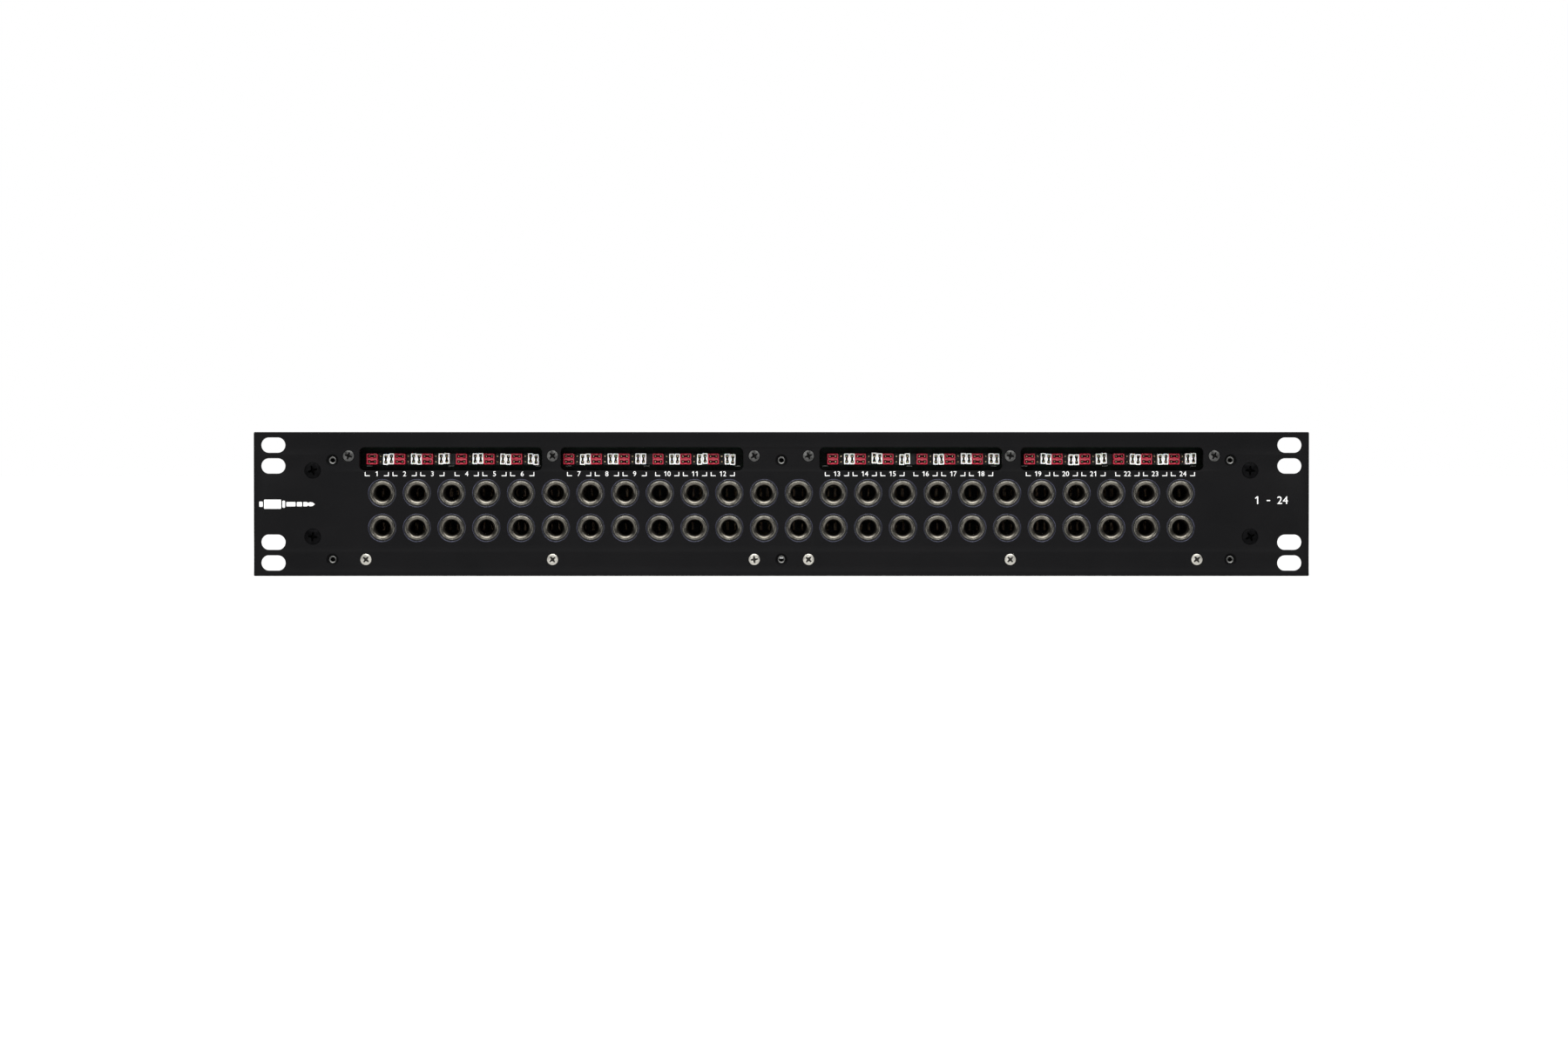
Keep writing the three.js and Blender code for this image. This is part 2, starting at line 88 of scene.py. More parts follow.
SIDES = (("left", -1), ("right", 1))
SOCKETS = 24
SOCKET_PITCH = opening_centre("socket_lower_12")[0] - opening_centre("socket_lower_11")[0]
ROW_LEVELS = {row: opening_centre(f"socket_{row}_1")[1] for row in ("lower", "upper")}
SOCKET_X = [(i - (SOCKETS - 1) / 2) * SOCKET_PITCH for i in range(SOCKETS)]
WINDOWS = [opening_centre(f"window_{i}") for i in range(1, 5)]
WINDOW_SIZE = (83.5, 10.6)
WINDOW_CORNER = 2.2
FIELD_X = [sum(corner[0] for corner in box_mm(f"pin_header_{i}")) / 2 for i in range(1, 5)]
FIELD_LEVEL = WINDOWS[0][1]
PIN = 2.54  # the pitch of the headers' pins
CHANNEL_PITCH = 5 * PIN
BANK_OFFSET = 20.5
SHUNT_SHIFT = 1.5 * PIN
PAIR_PITCH = 0.99 * PIN
THICKNESS = PANEL_HIGH[1]


def channels(field):
    """The X of each of a window's six channels, at its middle column of pins."""
    banks = (-BANK_OFFSET, BANK_OFFSET)
    return [FIELD_X[field] + bank + step * CHANNEL_PITCH for bank in banks for step in (-1, 0, 1)]


def screw_places(prefix, count):
    """X and Z of a row of CAD screws."""
    found = []
    for i in range(1, count + 1):
        low, high = box_mm(f"{prefix}_{i}")
        found.append(((low[0] + high[0]) / 2, (low[2] + high[2]) / 2))
    return found


CASE_SCREWS = screw_places("case_screw", 4)
LOWER_SCREWS = screw_places("frame_screw_lower", 6)
UPPER_SCREWS = screw_places("frame_screw_upper", 6)
STRIP_HOLES = [(x, z) for x in (-205.4, 0, 205.4) for z in (7.6, 53.0)]
SLOTS = [(side * 232.55, z) for side in (-1, 1) for z in (5.95, 15.48, 50.4, 59.93)]
SLOT_SIZE = (11.4, 7.0)
SLOT_CORNER = 3.49

# ---- Materials --------------------------------------------------------------------------------


class Nodes:
    """A short way to write a material's node tree."""

    def __init__(self, name):
        self.material = bpy.data.materials.new(name)
        self.material.use_nodes = True
        self.tree = self.material.node_tree
        self.shader = self.tree.nodes["Principled BSDF"]
        self.place = self.add("ShaderNodeTexCoord").outputs["Object"]

    def add(self, kind, inputs=None, **settings):
        node = self.tree.nodes.new(kind)
        for key, value in settings.items():
            setattr(node, key, value)
        for key, value in (inputs or {}).items():
            if isinstance(value, bpy.types.NodeSocket):
                self.tree.links.new(value, node.inputs[key])
            else:
                node.inputs[key].default_value = value
        return node

    def stretched(self, scale):
        return self.add("ShaderNodeMapping", {"Vector": self.place, "Scale": scale}).outputs["Vector"]

    def noise(self, scale, detail, where=None):
        inputs = {"Vector": where or self.place, "Scale": scale, "Detail": detail, "Roughness": 0.55}
        return self.add("ShaderNodeTexNoise", inputs).outputs["Fac"]

    def ramp(self, factor, low, high):
        """A colour between two, steepest where most of a noise's values lie."""
        node = self.add("ShaderNodeValToRGB", {"Fac": factor})
        node.color_ramp.elements[0].position = 0.35
        node.color_ramp.elements[1].position = 0.65
        node.color_ramp.elements[0].color = (*low, 1)
        node.color_ramp.elements[1].color = (*high, 1)
        return node.outputs["Color"]

    def between(self, factor, low, high, start=0.3, end=0.7):
        inputs = {"Value": factor, "From Min": start, "From Max": end, "To Min": low, "To Max": high}
        return self.add("ShaderNodeMapRange", inputs).outputs["Result"]

    def mix(self, factor, first, second):
        node = self.add("ShaderNodeMix", {"Factor": factor}, data_type="RGBA")
        color_a, color_b = node.inputs[6], node.inputs[7]
        for socket, value in ((color_a, first), (color_b, second)):
            if isinstance(value, bpy.types.NodeSocket):
                self.tree.links.new(value, socket)
            else:
                socket.default_value = (*value, 1)
        return node.outputs[2]

    def bump(self, height, strength, distance, below=None):
        inputs = {"Height": height, "Strength": strength, "Distance": distance}
        if below:
            inputs["Normal"] = below
        return self.add("ShaderNodeBump", inputs).outputs["Normal"]

    def finish(self, color, roughness, normal=None, **constants):
        """Joins up the shader. Each constant is a shader input's name, with _ for its spaces."""
        for key, value in (("Base Color", color), ("Roughness", roughness), ("Normal", normal)):
            if value is not None:
                self.tree.links.new(value, self.shader.inputs[key])
        for key, value in constants.items():
            self.shader.inputs[key.replace("_", " ")].default_value = value
        return self.material


def painted(name, low, high, roughness, grain, depth, specular):
    """A coating: a faint drift of tone, a fine grain and slightly uneven gloss."""
    n = Nodes(name)
    drift = n.noise(38, 3)
    fine = n.noise(grain, 2)
    color = n.ramp(drift, low, high)
    rough = n.between(n.noise(150, 4), roughness - 0.05, roughness + 0.05)
    return n.finish(color, rough, n.bump(fine, 0.5, depth), Specular_IOR_Level=specular)


def plated(name, low, high, roughness, rings=0.0, tarnish=None):
    """A plated metal, with lathe rings about the piece's own Y axis where it was turned."""
    n = Nodes(name)
    cloud = n.noise(420, 5)
    color = n.ramp(cloud, low, high)
    if tarnish:
        spots = n.between(n.noise(900, 3), 0, 0.6, 0.55, 0.75)
        color = n.mix(spots, color, tarnish)
    rough = n.between(n.noise(1300, 3), roughness - 0.05, roughness + 0.08)
    normal = n.bump(n.noise(2600, 3), 0.3, 0.00001)
    if rings:
        inputs = {"Vector": n.place, "Scale": rings, "Distortion": 0.6, "Detail": 1.0}
        wave = n.add("ShaderNodeTexWave", inputs, wave_type="RINGS", rings_direction="Y")
        normal = n.bump(wave.outputs["Fac"], 0.35, 0.000012, normal)
    return n.finish(color, rough, normal, Metallic=1.0)


def moulded(name, low, high, roughness, scatter=0.0):
    """Moulded plastic: almost even colour, a fine spark-eroded texture and faint flow marks."""
    n = Nodes(name)
    flow = n.noise(90, 4, where=n.stretched((1, 1, 3)))
    color = n.ramp(flow, low, high)
    rough = n.between(n.noise(600, 3), roughness - 0.06, roughness + 0.06)
    normal = n.bump(n.noise(2200, 2), 0.35, 0.00002)
    return n.finish(color, rough, normal, Subsurface_Weight=scatter, Subsurface_Scale=0.0006, IOR=1.5)


def circuit_board():
    """Green solder mask over copper, its greens darkened nearly to black as painted shade of the boards
    behind the panel: traces show as slightly paler, raised tracks between rows of pads.
    """
    n = Nodes("solder_mask_painted_shade")
    upright = n.add("ShaderNodeMapping", {"Vector": n.place, "Rotation": (math.pi / 2, 0, 0)})
    layout = {"Vector": upright.outputs["Vector"], "Scale": 120.0, "Mortar Size": 0.045,
              "Brick Width": 1.3, "Row Height": 0.32, "Mortar Smooth": 0.2}
    tracks = n.add("ShaderNodeTexBrick", layout).outputs["Fac"]
    weave = n.add("ShaderNodeTexVoronoi", {"Vector": n.place, "Scale": 2100}).outputs["Distance"]
    # Painted shade: both greens are darkened nearly to black, far below bare solder mask.
    base = n.ramp(n.noise(60, 3), (0.0003, 0.0018, 0.0009), (0.0006, 0.0032, 0.0014))
    color = n.mix(tracks, base, (0.0011, 0.0075, 0.0033))
    normal = n.bump(tracks, 0.5, 0.00004, n.bump(weave, 0.15, 0.00002))
    return n.finish(color, n.between(n.noise(300, 3), 0.36, 0.48), normal, Specular_IOR_Level=0.06)


def ribbon():
    """Flat cable: parallel insulated wires with thin webs between them."""
    n = Nodes("flat_cable")
    inputs = {"Vector": n.place, "Scale": 125.0}
    wires = n.add("ShaderNodeTexWave", inputs, wave_type="BANDS", bands_direction="X").outputs["Fac"]
    color = n.mix(n.between(wires, 0, 1, 0.0, 0.35), (0.12, 0.125, 0.135), (0.33, 0.34, 0.36))
    return n.finish(color, n.between(n.noise(500, 2), 0.45, 0.6), n.bump(wires, 0.8, 0.0003), IOR=1.5)


def printed(name, low, high):
    """Screen-printed ink, a little uneven where the mesh laid it down."""
    n = Nodes(name)
    color = n.ramp(n.noise(2500, 3), low, high)
    rough = n.between(n.noise(900, 2), 0.5, 0.65)
    return n.finish(color, rough, n.bump(n.noise(5200, 2), 0.4, 0.00001))


PANEL_BLACK = painted("satin_black_anodise", (0.0023, 0.0023, 0.0026), (0.003, 0.0029, 0.0032), 0.5, 5200,
                      0.000012, specular=0.06)
# Pale bluish metal on the socket holes' chamfers: a painted highlight, the thin bright ring of the lit
# chamfer edge on the black panel.
CHAMFER_HIGHLIGHT = plated("chamfer_painted_highlight", (0.1, 0.105, 0.16), (0.17, 0.175, 0.25), 0.36)
# A darker copy of the panel's black for the countersinks and the socket holes' walls: painted shade in those
# hollows.
SHADED_COUNTERSINK = painted("countersink_painted_shade", (0.0016, 0.0016, 0.0018), (0.0028, 0.0028, 0.003), 0.45, 4000,
                      0.00001, specular=0.05)
NICKEL = plated("bright_nickel", (0.138, 0.131, 0.113), (0.24, 0.229, 0.201), 0.16, rings=2600,
                tarnish=(0.07, 0.063, 0.048))
# A darker copy of the nickel for the sockets' mouths: painted shade that tones down the lit slope, plus a
# faint brass tint of plug wear.
WORN_AND_SHADED_NICKEL = plated("plug_worn_nickel_and_shade", (0.067, 0.062, 0.052), (0.121, 0.113, 0.095), 0.2, rings=2600,
                     tarnish=(0.045, 0.04, 0.03))
# Near-black matte in place of the bushing's own nickel down its groove and bore: painted shade inside them.
BORE = painted("bore_painted_shade", (0.0035, 0.003, 0.0022), (0.012, 0.0105, 0.008), 0.45, 3000, 0.00001,
               specular=0.25)
SCREW_BRIGHT = plated("nickel_screw", (0.33, 0.32, 0.285), (0.46, 0.445, 0.405), 0.3, rings=1800)
SCREW_DULL = plated("zinc_screw", (0.018, 0.018, 0.0175), (0.11, 0.11, 0.107), 0.46, rings=1500,
                    tarnish=(0.012, 0.012, 0.012))
SCREW_BLACK = plated("black_oxide_screw", (0.0024, 0.0024, 0.0026), (0.0052, 0.0052, 0.0055), 0.42)
# Darker copies of the three screw finishes for the cross recesses: painted shade in the recesses.
NICKEL_RECESS_SHADE = plated("nickel_recess_painted_shade", (0.02, 0.019, 0.017), (0.05, 0.048, 0.043), 0.45)
ZINC_RECESS_SHADE = plated("zinc_recess_painted_shade", (0.005, 0.005, 0.0048), (0.014, 0.014, 0.0135), 0.5)
OXIDE_RECESS_SHADE = plated("oxide_recess_painted_shade", (0.0014, 0.0014, 0.0015), (0.0026, 0.0026, 0.0027), 0.5)
BUSH_METAL = plated("tapped_steel", (0.07, 0.07, 0.067), (0.17, 0.17, 0.163), 0.4)
CASE_STEEL = painted("powder_coat", (0.0148, 0.0148, 0.0155), (0.0166, 0.0166, 0.0174), 0.58, 1500, 0.00006,
                     specular=0.4)
RED_PLASTIC = moulded("crimson_plastic", (0.33, 0.0055, 0.025), (0.45, 0.01, 0.037), 0.38, scatter=0.06)
WHITE_PLASTIC = moulded("white_plastic", (0.84, 0.83, 0.81), (0.9, 0.895, 0.875), 0.36, scatter=0.12)
BLACK_PLASTIC = moulded("black_moulding", (0.0045, 0.0045, 0.0048), (0.008, 0.008, 0.0083), 0.55)
SHADED_SOLDER_MASK = circuit_board()
PIN_METAL = plated("tinned_pin", (0.62, 0.5, 0.28), (0.78, 0.66, 0.42), 0.28)
SPRING_METAL = plated("nickel_silver", (0.5, 0.46, 0.36), (0.62, 0.57, 0.46), 0.32)
CLIP_METAL = plated("shunt_clip", (0.055, 0.036, 0.018), (0.13, 0.09, 0.05), 0.4)
PHENOLIC = moulded("brown_phenolic", (0.26, 0.165, 0.09), (0.38, 0.26, 0.15), 0.5)
SHELL_METAL = plated("tin_plate", (0.48, 0.48, 0.455), (0.62, 0.62, 0.59), 0.34, tarnish=(0.3, 0.3, 0.28))
STEEL_PLATE = plated("zinc_plate", (0.42, 0.42, 0.4), (0.55, 0.55, 0.52), 0.4, tarnish=(0.25, 0.25, 0.24))
GOLD = plated("gold_contact", (0.72, 0.5, 0.18), (0.85, 0.62, 0.26), 0.25)
FLAT_CABLE = ribbon()
WHITE_INK = printed("white_ink", (0.56, 0.56, 0.55), (0.7, 0.7, 0.69))
# Pale grey for small painted highlights on the boards, standing in for glints inside the windows.
BOARD_GLINT = printed("board_painted_glint", (0.2, 0.21, 0.2), (0.32, 0.33, 0.32))
REAR_INK = printed("rear_ink", (0.62, 0.62, 0.61), (0.76, 0.76, 0.75))
BRASS = plated("brass", (0.56, 0.42, 0.2), (0.7, 0.54, 0.28), 0.3, tarnish=(0.3, 0.22, 0.11))

# ---- Mesh building ----------------------------------------------------------------------------
# Shapes are built in millimetres with X to the right, Y into the panel and Z up.


def circle(x, z, radius, flats=40):
    """A round outline. As with every outline here, calling it gives its points, grown by a distance."""
    def ring(grow):
        turns = (2 * math.pi * i / flats for i in range(flats))
        return [(x + (radius + grow) * math.cos(a), z + (radius + grow) * math.sin(a)) for a in turns]
    return ring


def rounded(corners, radius, steps=6):
    """A convex outline, listed anticlockwise, whose corners are rounded."""
    count = len(corners)
    points = [Vector(c) for c in corners]
    arcs = []
    for i, corner in enumerate(points):
        before = (corner - points[i - 1]).normalized()
        after = (points[(i + 1) % count] - corner).normalized()
        start = Vector((before.y, -before.x))
        end = Vector((after.y, -after.x))
        centre = corner - (start + end) / (1 + start.dot(end)) * radius
        turn = start.angle(end)
        first = math.atan2(start.y, start.x)
        arcs.append((centre, [first + turn * k / steps for k in range(steps + 1)]))

    def ring(grow):
        return [(centre.x + (radius + grow) * math.cos(a), centre.y + (radius + grow) * math.sin(a))
                for centre, angles in arcs for a in angles]
    return ring


def rectangle(x, z, width, height, radius, steps=4):
    """An outline centred on x and z, with rounded corners."""
    w, h = width / 2, height / 2
    return rounded([(x - w, z - h), (x + w, z - h), (x + w, z + h), (x - w, z + h)], radius, steps)


def spanning(low, high, radius):
    """The rectangle that a box fills, seen from the front."""
    width, height = high[0] - low[0], high[2] - low[2]
    return rectangle((low[0] + high[0]) / 2, (low[2] + high[2]) / 2, width, height, radius)


def fixed(points):
    """An outline that stays the same size whatever it is asked to grow by."""
    return lambda grow: points


def hexagon(radius):
    """A hexagonal outline that grows by a share of its size."""
    points = [(radius * math.cos(math.pi / 3 * k), radius * math.sin(math.pi / 3 * k)) for k in range(6)]
    return lambda grow: [(x * (1 + grow), z * (1 + grow)) for x, z in points]


def eased(depth, edge):
    """A wall's profile of (growth, depth) with its two arrises rounded. A hole's edge is positive."""
    steps = 3
    quarter = [math.pi / 2 * k / steps for k in range(steps + 1)]
    front = [(edge * (1 - math.sin(a)), abs(edge) * (1 - math.cos(a))) for a in quarter]
    back = [(grow, depth - down) for grow, down in reversed(front)]
    return front + back


def sheared(front, back, edge=0.1):
    """A sheet's profile between two depths, with a small bevel at each face."""
    return [(-edge, front), (0, front + edge), (0, back - edge), (-edge, back)]


def drilled(x, z, radius, front, back, flats=24):
    """A plain round hole, as plate() takes it."""
    return circle(x, z, radius, flats), [(0, front), (0, back)], False, 0, 0


def wall(bm, outline, profile, material=0, edge_material=0):
    """The side of a plate or hole, as rings of vertices at each step of its profile. Its slopes
    take the edge material."""
    rings = [[bm.verts.new((x, depth, z)) for x, z in outline(grow)] for grow, depth in profile]
    for index, (upper, lower) in enumerate(zip(rings, rings[1:])):
        for i in range(len(upper)):
            j = (i + 1) % len(upper)
            face = bm.faces.new((upper[i], upper[j], lower[j], lower[i]))
            face.smooth = True
            sloped = profile[index][0] != profile[index + 1][0]
            face.material_index = edge_material if sloped else material
    return rings


def cap(bm, rings, material=0):
    """A flat face bounded by the first ring, with the others as holes in it."""
    flat = [[Vector((v.co.x, v.co.z, 0)) for v in ring] for ring in rings]
    verts = [v for ring in rings for v in ring]
    for triangle in tessellate_polygon(flat):
        corners = [verts[i] for i in triangle]
        if len(set(corners)) == 3 and bm.faces.get(corners) is None:
            face = bm.faces.new(corners)
            face.material_index = material


def plate(bm, outer, profile, holes=()):
    """A closed plate. Each hole is (outline, profile, is blind, material, edge material)."""
    rings = wall(bm, outer, profile)
    front, back = [rings[0]], [rings[-1]]
    for outline, hole_profile, blind, hole_material, hole_edge in holes:
        hole = wall(bm, outline, hole_profile, hole_material, hole_edge)
        front.append(hole[0])
        if blind:
            cap(bm, [hole[-1]], hole_material)
        else:
            back.append(hole[-1])
    cap(bm, front)
    cap(bm, back)


def turned(bm, profile, flats, x=0.0, z=0.0, bands=()):
    """A round piece about a line parallel to Y, from a closed profile of (radius, depth).
    bands lists (first step, last step, material) where the material isn't the first one."""
    rings = []
    for radius, depth in profile:
        if radius < 1e-6:
            rings.append([bm.verts.new((x, depth, z))])
        else:
            rings.append([bm.verts.new((x + radius * math.cos(a), depth, z + radius * math.sin(a)))
                          for a in (2 * math.pi * i / flats for i in range(flats))])
    for step, (first, second) in enumerate(zip(rings, rings[1:] + rings[:1])):
        if len(first) == 1 and len(second) == 1:
            continue
        index = next((m for low, high, m in bands if low <= step <= high), 0)
        for i in range(flats):
            j = (i + 1) % flats
            near = [first[i % len(first)], first[j % len(first)]]
            far = [second[j % len(second)], second[i % len(second)]]
            face = bm.faces.new(list(dict.fromkeys(near + far)))
            face.smooth = True
            face.material_index = index


def brick(bm, low, high, edge=0.2):
    """A block with rounded edges."""
    size = [b - a for a, b in zip(low, high)]
    middle = [(a + b) / 2 for a, b in zip(low, high)]
    matrix = Matrix.Translation(middle) @ Matrix.Diagonal((*size, 1))
    made = bmesh.ops.create_cube(bm, size=1, matrix=matrix)
    edges = list({e for v in made["verts"] for e in v.link_edges})
    offset = min(edge, min(size) * 0.45)
    bmesh.ops.bevel(bm, geom=edges, offset=offset, segments=2, affect="EDGES", profile=0.5)


def pin(bm, x, z, front, back):
    """A square pin with a tapered tip."""
    half, taper = 0.32, 0.45
    outline = [(x - half, z - half), (x + half, z - half), (x + half, z + half), (x - half, z + half)]

    def ring(grow):
        return [(x + (px - x) * grow, z + (pz - z) * grow) for px, pz in outline]
    plate(bm, ring, [(0.45, front), (1, front + taper), (1, back)])


def strip_outline(path, thickness, radius):
    """The closed outline of folded sheet that follows a path, bent at each of its inner points."""
    steps = 5
    points = [Vector(p) for p in path]
    normals = []
    for start, end in zip(points, points[1:]):
        along = (end - start).normalized()
        normals.append(Vector((-along.y, along.x)))
    half = thickness / 2
    left, right = [points[0] + normals[0] * half], [points[0] - normals[0] * half]
    for i in range(1, len(points) - 1):
        first, second = normals[i - 1], normals[i]
        side = 1 if first.x * second.y - first.y * second.x > 0 else -1
        centre = points[i] + side * (first + second) / (1 + first.dot(second)) * (radius + half)
        turn = first.angle(second) * side
        base = math.atan2(-side * first.y, -side * first.x)
        for k in range(steps + 1):
            angle = base + turn * k / steps
            out = Vector((math.cos(angle), math.sin(angle)))
            near, far = centre + out * radius, centre + out * (radius + thickness)
            left.append(near if side > 0 else far)
            right.append(far if side > 0 else near)
    left.append(points[-1] + normals[-1] * half)
    right.append(points[-1] - normals[-1] * half)
    return [(p.x, p.y) for p in left + right[::-1]]


def mesh_of(bm, name, materials, sharp=38):
    """A finished mesh in metres. Edges that turn more than the sharp angle aren't smoothed."""
    bmesh.ops.recalc_face_normals(bm, faces=bm.faces)
    bm.transform(Matrix.Scale(MM, 4))
    mesh = bpy.data.meshes.new(name)
    bm.to_mesh(mesh)
    bm.free()
    mesh.set_sharp_from_angle(angle=math.radians(sharp))
    for material in materials:
        mesh.materials.append(material)
    return mesh


FACING = {"front": 0, "right": 90, "back": 180, "left": -90}


def place(name, mesh, slot, body="chassis", x=0.0, y=0.0, z=0.0, turn=0.0, facing="front", tilt=0.0):
    """Puts a piece in the frame. turn is about its own Y axis and tilt about its own X axis, in degrees."""
    obj = bpy.data.objects.new(name, mesh)
    SCENE.collection.objects.link(obj)
    about = Matrix.Rotation(math.radians(FACING[facing]), 4, "Z")
    spin = Matrix.Rotation(math.radians(turn), 4, "Y") @ Matrix.Rotation(math.radians(tilt), 4, "X")
    obj.matrix_world = Matrix.Translation((x * MM, FACE + y * MM, z * MM)) @ about @ spin
    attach(obj, body)
    return obj


def single(name, bm, materials, slot, stands_for=None, sharp=38, **at):
    """Places a shape that is used once. It may stand for one of the CAD nodes."""
    piece = place(name, mesh_of(bm, name, materials, sharp), slot, **at)
    if stands_for:
        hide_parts(stands_for)


# ---- Front panel ------------------------------------------------------------------------------

PANEL_HOLE = 6.15
SMALL_HEAD = {"radius": 2.75, "hole": 1.75, "depth": 1.4}
LARGE_HEAD = {"radius": 3.8, "hole": 2.35, "depth": 1.9}
STRIP_HOLE = {"radius": 2.75, "hole": 1.65, "depth": 1.35}


def countersunk(x, z, radius, hole, depth):
    """A screw's hole: a cone with a small bevel at the face, then a straight bore."""
    profile = [(radius - hole + 0.06, 0), (radius - hole, 0.05), (0, depth), (0, THICKNESS)]
    # The cone and the bore take the darker painted-shade black.
    return circle(x, z, hole), profile, False, 2, 2


def front_panel():
    width, height = PANEL_HIGH[0] - PANEL_LOW[0], PANEL_HIGH[2]
    slot_wall, window_wall = eased(THICKNESS, 0.22), eased(THICKNESS, 0.28)
    socket_wall = [(0.28, 0), (0.03, 0.25), (0, 0.31), (0, THICKNESS - 0.2), (0.2, THICKNESS)]
    holes = [(rectangle(x, z, *SLOT_SIZE, SLOT_CORNER, 10), slot_wall, False, 0, 0) for x, z in SLOTS]
    holes += [(rectangle(x, z, *WINDOW_SIZE, WINDOW_CORNER, 8), window_wall, False, 0, 0)
              for x, z in WINDOWS]
    # Socket holes: painted-highlight metal on the chamfers, and the darker painted-shade black on the walls.
    holes += [(circle(x, level, PANEL_HOLE, 64), socket_wall, False, 2, 1)
              for level in ROW_LEVELS.values() for x in SOCKET_X]
    holes += [countersunk(x, z, **SMALL_HEAD) for x, z in LOWER_SCREWS + UPPER_SCREWS]
    holes += [countersunk(x, z, **LARGE_HEAD) for x, z in CASE_SCREWS]
    holes += [countersunk(x, z, **STRIP_HOLE) for x, z in STRIP_HOLES]
    bm = bmesh.new()
    plate(bm, rectangle(0, height / 2, width, height, 0.6), eased(THICKNESS, -0.25), holes)
    single("faceplate", bm, [PANEL_BLACK, CHAMFER_HIGHLIGHT, SHADED_COUNTERSINK], "panel_black", "front_panel")


front_panel()

# ---- Sockets ----------------------------------------------------------------------------------


def socket_mesh():
    """A turned bushing: a rounded nose, a thin groove, a dished mouth worn by plugs and a long bore. The
    mouth's nickel is darker, painted shade on its lit slope, with a faint brass tint of wear.
    """
    nose = [(5.52, 5.6), (5.52, 0.55), (5.48, 0.38), (5.4, 0.25), (5.3, 0.18), (5.2, 0.17)]
    groove = [(5.14, 0.22), (5.12, 0.65), (4.92, 0.65)]
    mouth = [(4.9, 0.22), (4.82, 0.17), (4.02, 0.35), (3.98, 0.37), (3.95, 0.42)]
    bore = [(3.93, 0.5), (3.5, 1.5), (3.45, 1.8), (3.45, 13.4)]
    tail = [(3.55, 13.6), (4.7, 13.6), (4.8, 13.5), (4.8, 5.9)]
    bm = bmesh.new()
    # The groove and the bore take the near-black painted-shade finish in place of nickel; the mouth takes
    # the darker nickel, painted shade with a little plug wear.
    turned(bm, nose + groove + mouth + bore + tail, 64, bands=[(6, 8, 1), (9, 13, 2), (14, 17, 1)])
    return mesh_of(bm, "socket_bushing", [NICKEL, BORE, WORN_AND_SHADED_NICKEL])


def socket_washer():
    """The dark insulating collar that shows in the gap round each nose."""
    bm = bmesh.new()
    turned(bm, [(5.58, 1.1), (6.05, 1.1), (6.1, 1.2), (6.1, 2.9), (6.0, 3.0), (5.58, 3.0)], 48)
    return mesh_of(bm, "socket_collar", [BLACK_PLASTIC])


def sockets():
    bushing, collar = socket_mesh(), socket_washer()
    rng = random.Random(4)
    for row, level in ROW_LEVELS.items():
        for i, x in enumerate(SOCKET_X, 1):
            turn = rng.uniform(0, 360)
            lean = rng.uniform(-0.35, 0.35)
            place(f"socket_{row}_{i:02d}", bushing, "jack_nickel", x=x, z=level, turn=turn, tilt=lean)
            place(f"socket_collar_{row}_{i:02d}", collar, "moulded_black", x=x, z=level)


sockets()


STACK = {"front": 46.0, "back": 51.6, "half_height": 2.0}
LAMINAE = (-5.4, -1.8, 1.8, 5.4)


def spring_stacks():
    """The brown laminated stacks that clamp the contact springs, seen edge on down each bore."""
    rng = random.Random(19)
    for row, level in ROW_LEVELS.items():
        bottom, top = level - STACK["half_height"], level + STACK["half_height"]
        for side, sign in SIDES:
            bm = bmesh.new()
            for x in (x for x in SOCKET_X if x * sign > 0):
                for lamina in LAMINAE:
                    middle = x + lamina + rng.uniform(-0.4, 0.4)
                    half = rng.uniform(0.35, 0.7)
                    near = (middle - half, STACK["front"], bottom)
                    far = (middle + half, STACK["back"], top)
                    brick(bm, near, far, 0.12)
            single(f"spring_stack_{row}_{side}", bm, [PHENOLIC], "moulded_black")


spring_stacks()


CARRIER_DEPTHS = (3.5, 6.5)
CARRIER_TOP = 46.4
CARRIER_BORE = 5.5
SCREW_BORE = 1.75
TAB = {"half_width": 3.4, "bottom": 45.4, "top": 58.8}
SPACER = [(1.75, 6.4), (3.2, 6.4), (3.3, 6.6), (3.3, 13.4), (3.1, 13.7), (1.75, 13.7)]


def carrier_tab(bm, x, z, outer):
    """A tab that takes an upper screw, with the hexagonal spacer behind it."""
    near = abs(x) - TAB["half_width"]
    far = min(abs(x) + TAB["half_width"], outer)
    centre = math.copysign((near + far) / 2, x)
    level, height = (TAB["bottom"] + TAB["top"]) / 2, TAB["top"] - TAB["bottom"]
    plate(bm, rectangle(centre, level, far - near, height, 0.8, 3), sheared(*CARRIER_DEPTHS, 0.15),
          [drilled(x, z, SCREW_BORE, *CARRIER_DEPTHS, 20)])
    turned(bm, SPACER, 6, x, z)


def frame_plates():
    """The carrier plates behind the panel, bored for the sockets."""
    for side, sign in SIDES:
        low, high = box_mm(f"jack_frame_{side}")
        inner, outer = sorted((abs(low[0]), abs(high[0])))
        middle = sign * (inner + outer) / 2
        level, height = (low[2] + CARRIER_TOP) / 2, CARRIER_TOP - low[2]
        holes = [drilled(x, row, CARRIER_BORE, *CARRIER_DEPTHS, 32)
                 for row in ROW_LEVELS.values() for x in SOCKET_X if x * sign > 0]
        holes += [drilled(x, z, SCREW_BORE, *CARRIER_DEPTHS, 20) for x, z in LOWER_SCREWS if x * sign > 0]
        bm = bmesh.new()
        outline = rectangle(middle, level, outer - inner, height, 1.2)
        plate(bm, outline, sheared(*CARRIER_DEPTHS, 0.15), holes)
        for x, z in UPPER_SCREWS:
            if x * sign > 0:
                carrier_tab(bm, x, z, outer)
        single(f"jack_carrier_{side}", bm, [STEEL_PLATE], "jack_nickel", f"jack_frame_{side}")


frame_plates()

# ---- Screws -----------------------------------------------------------------------------------


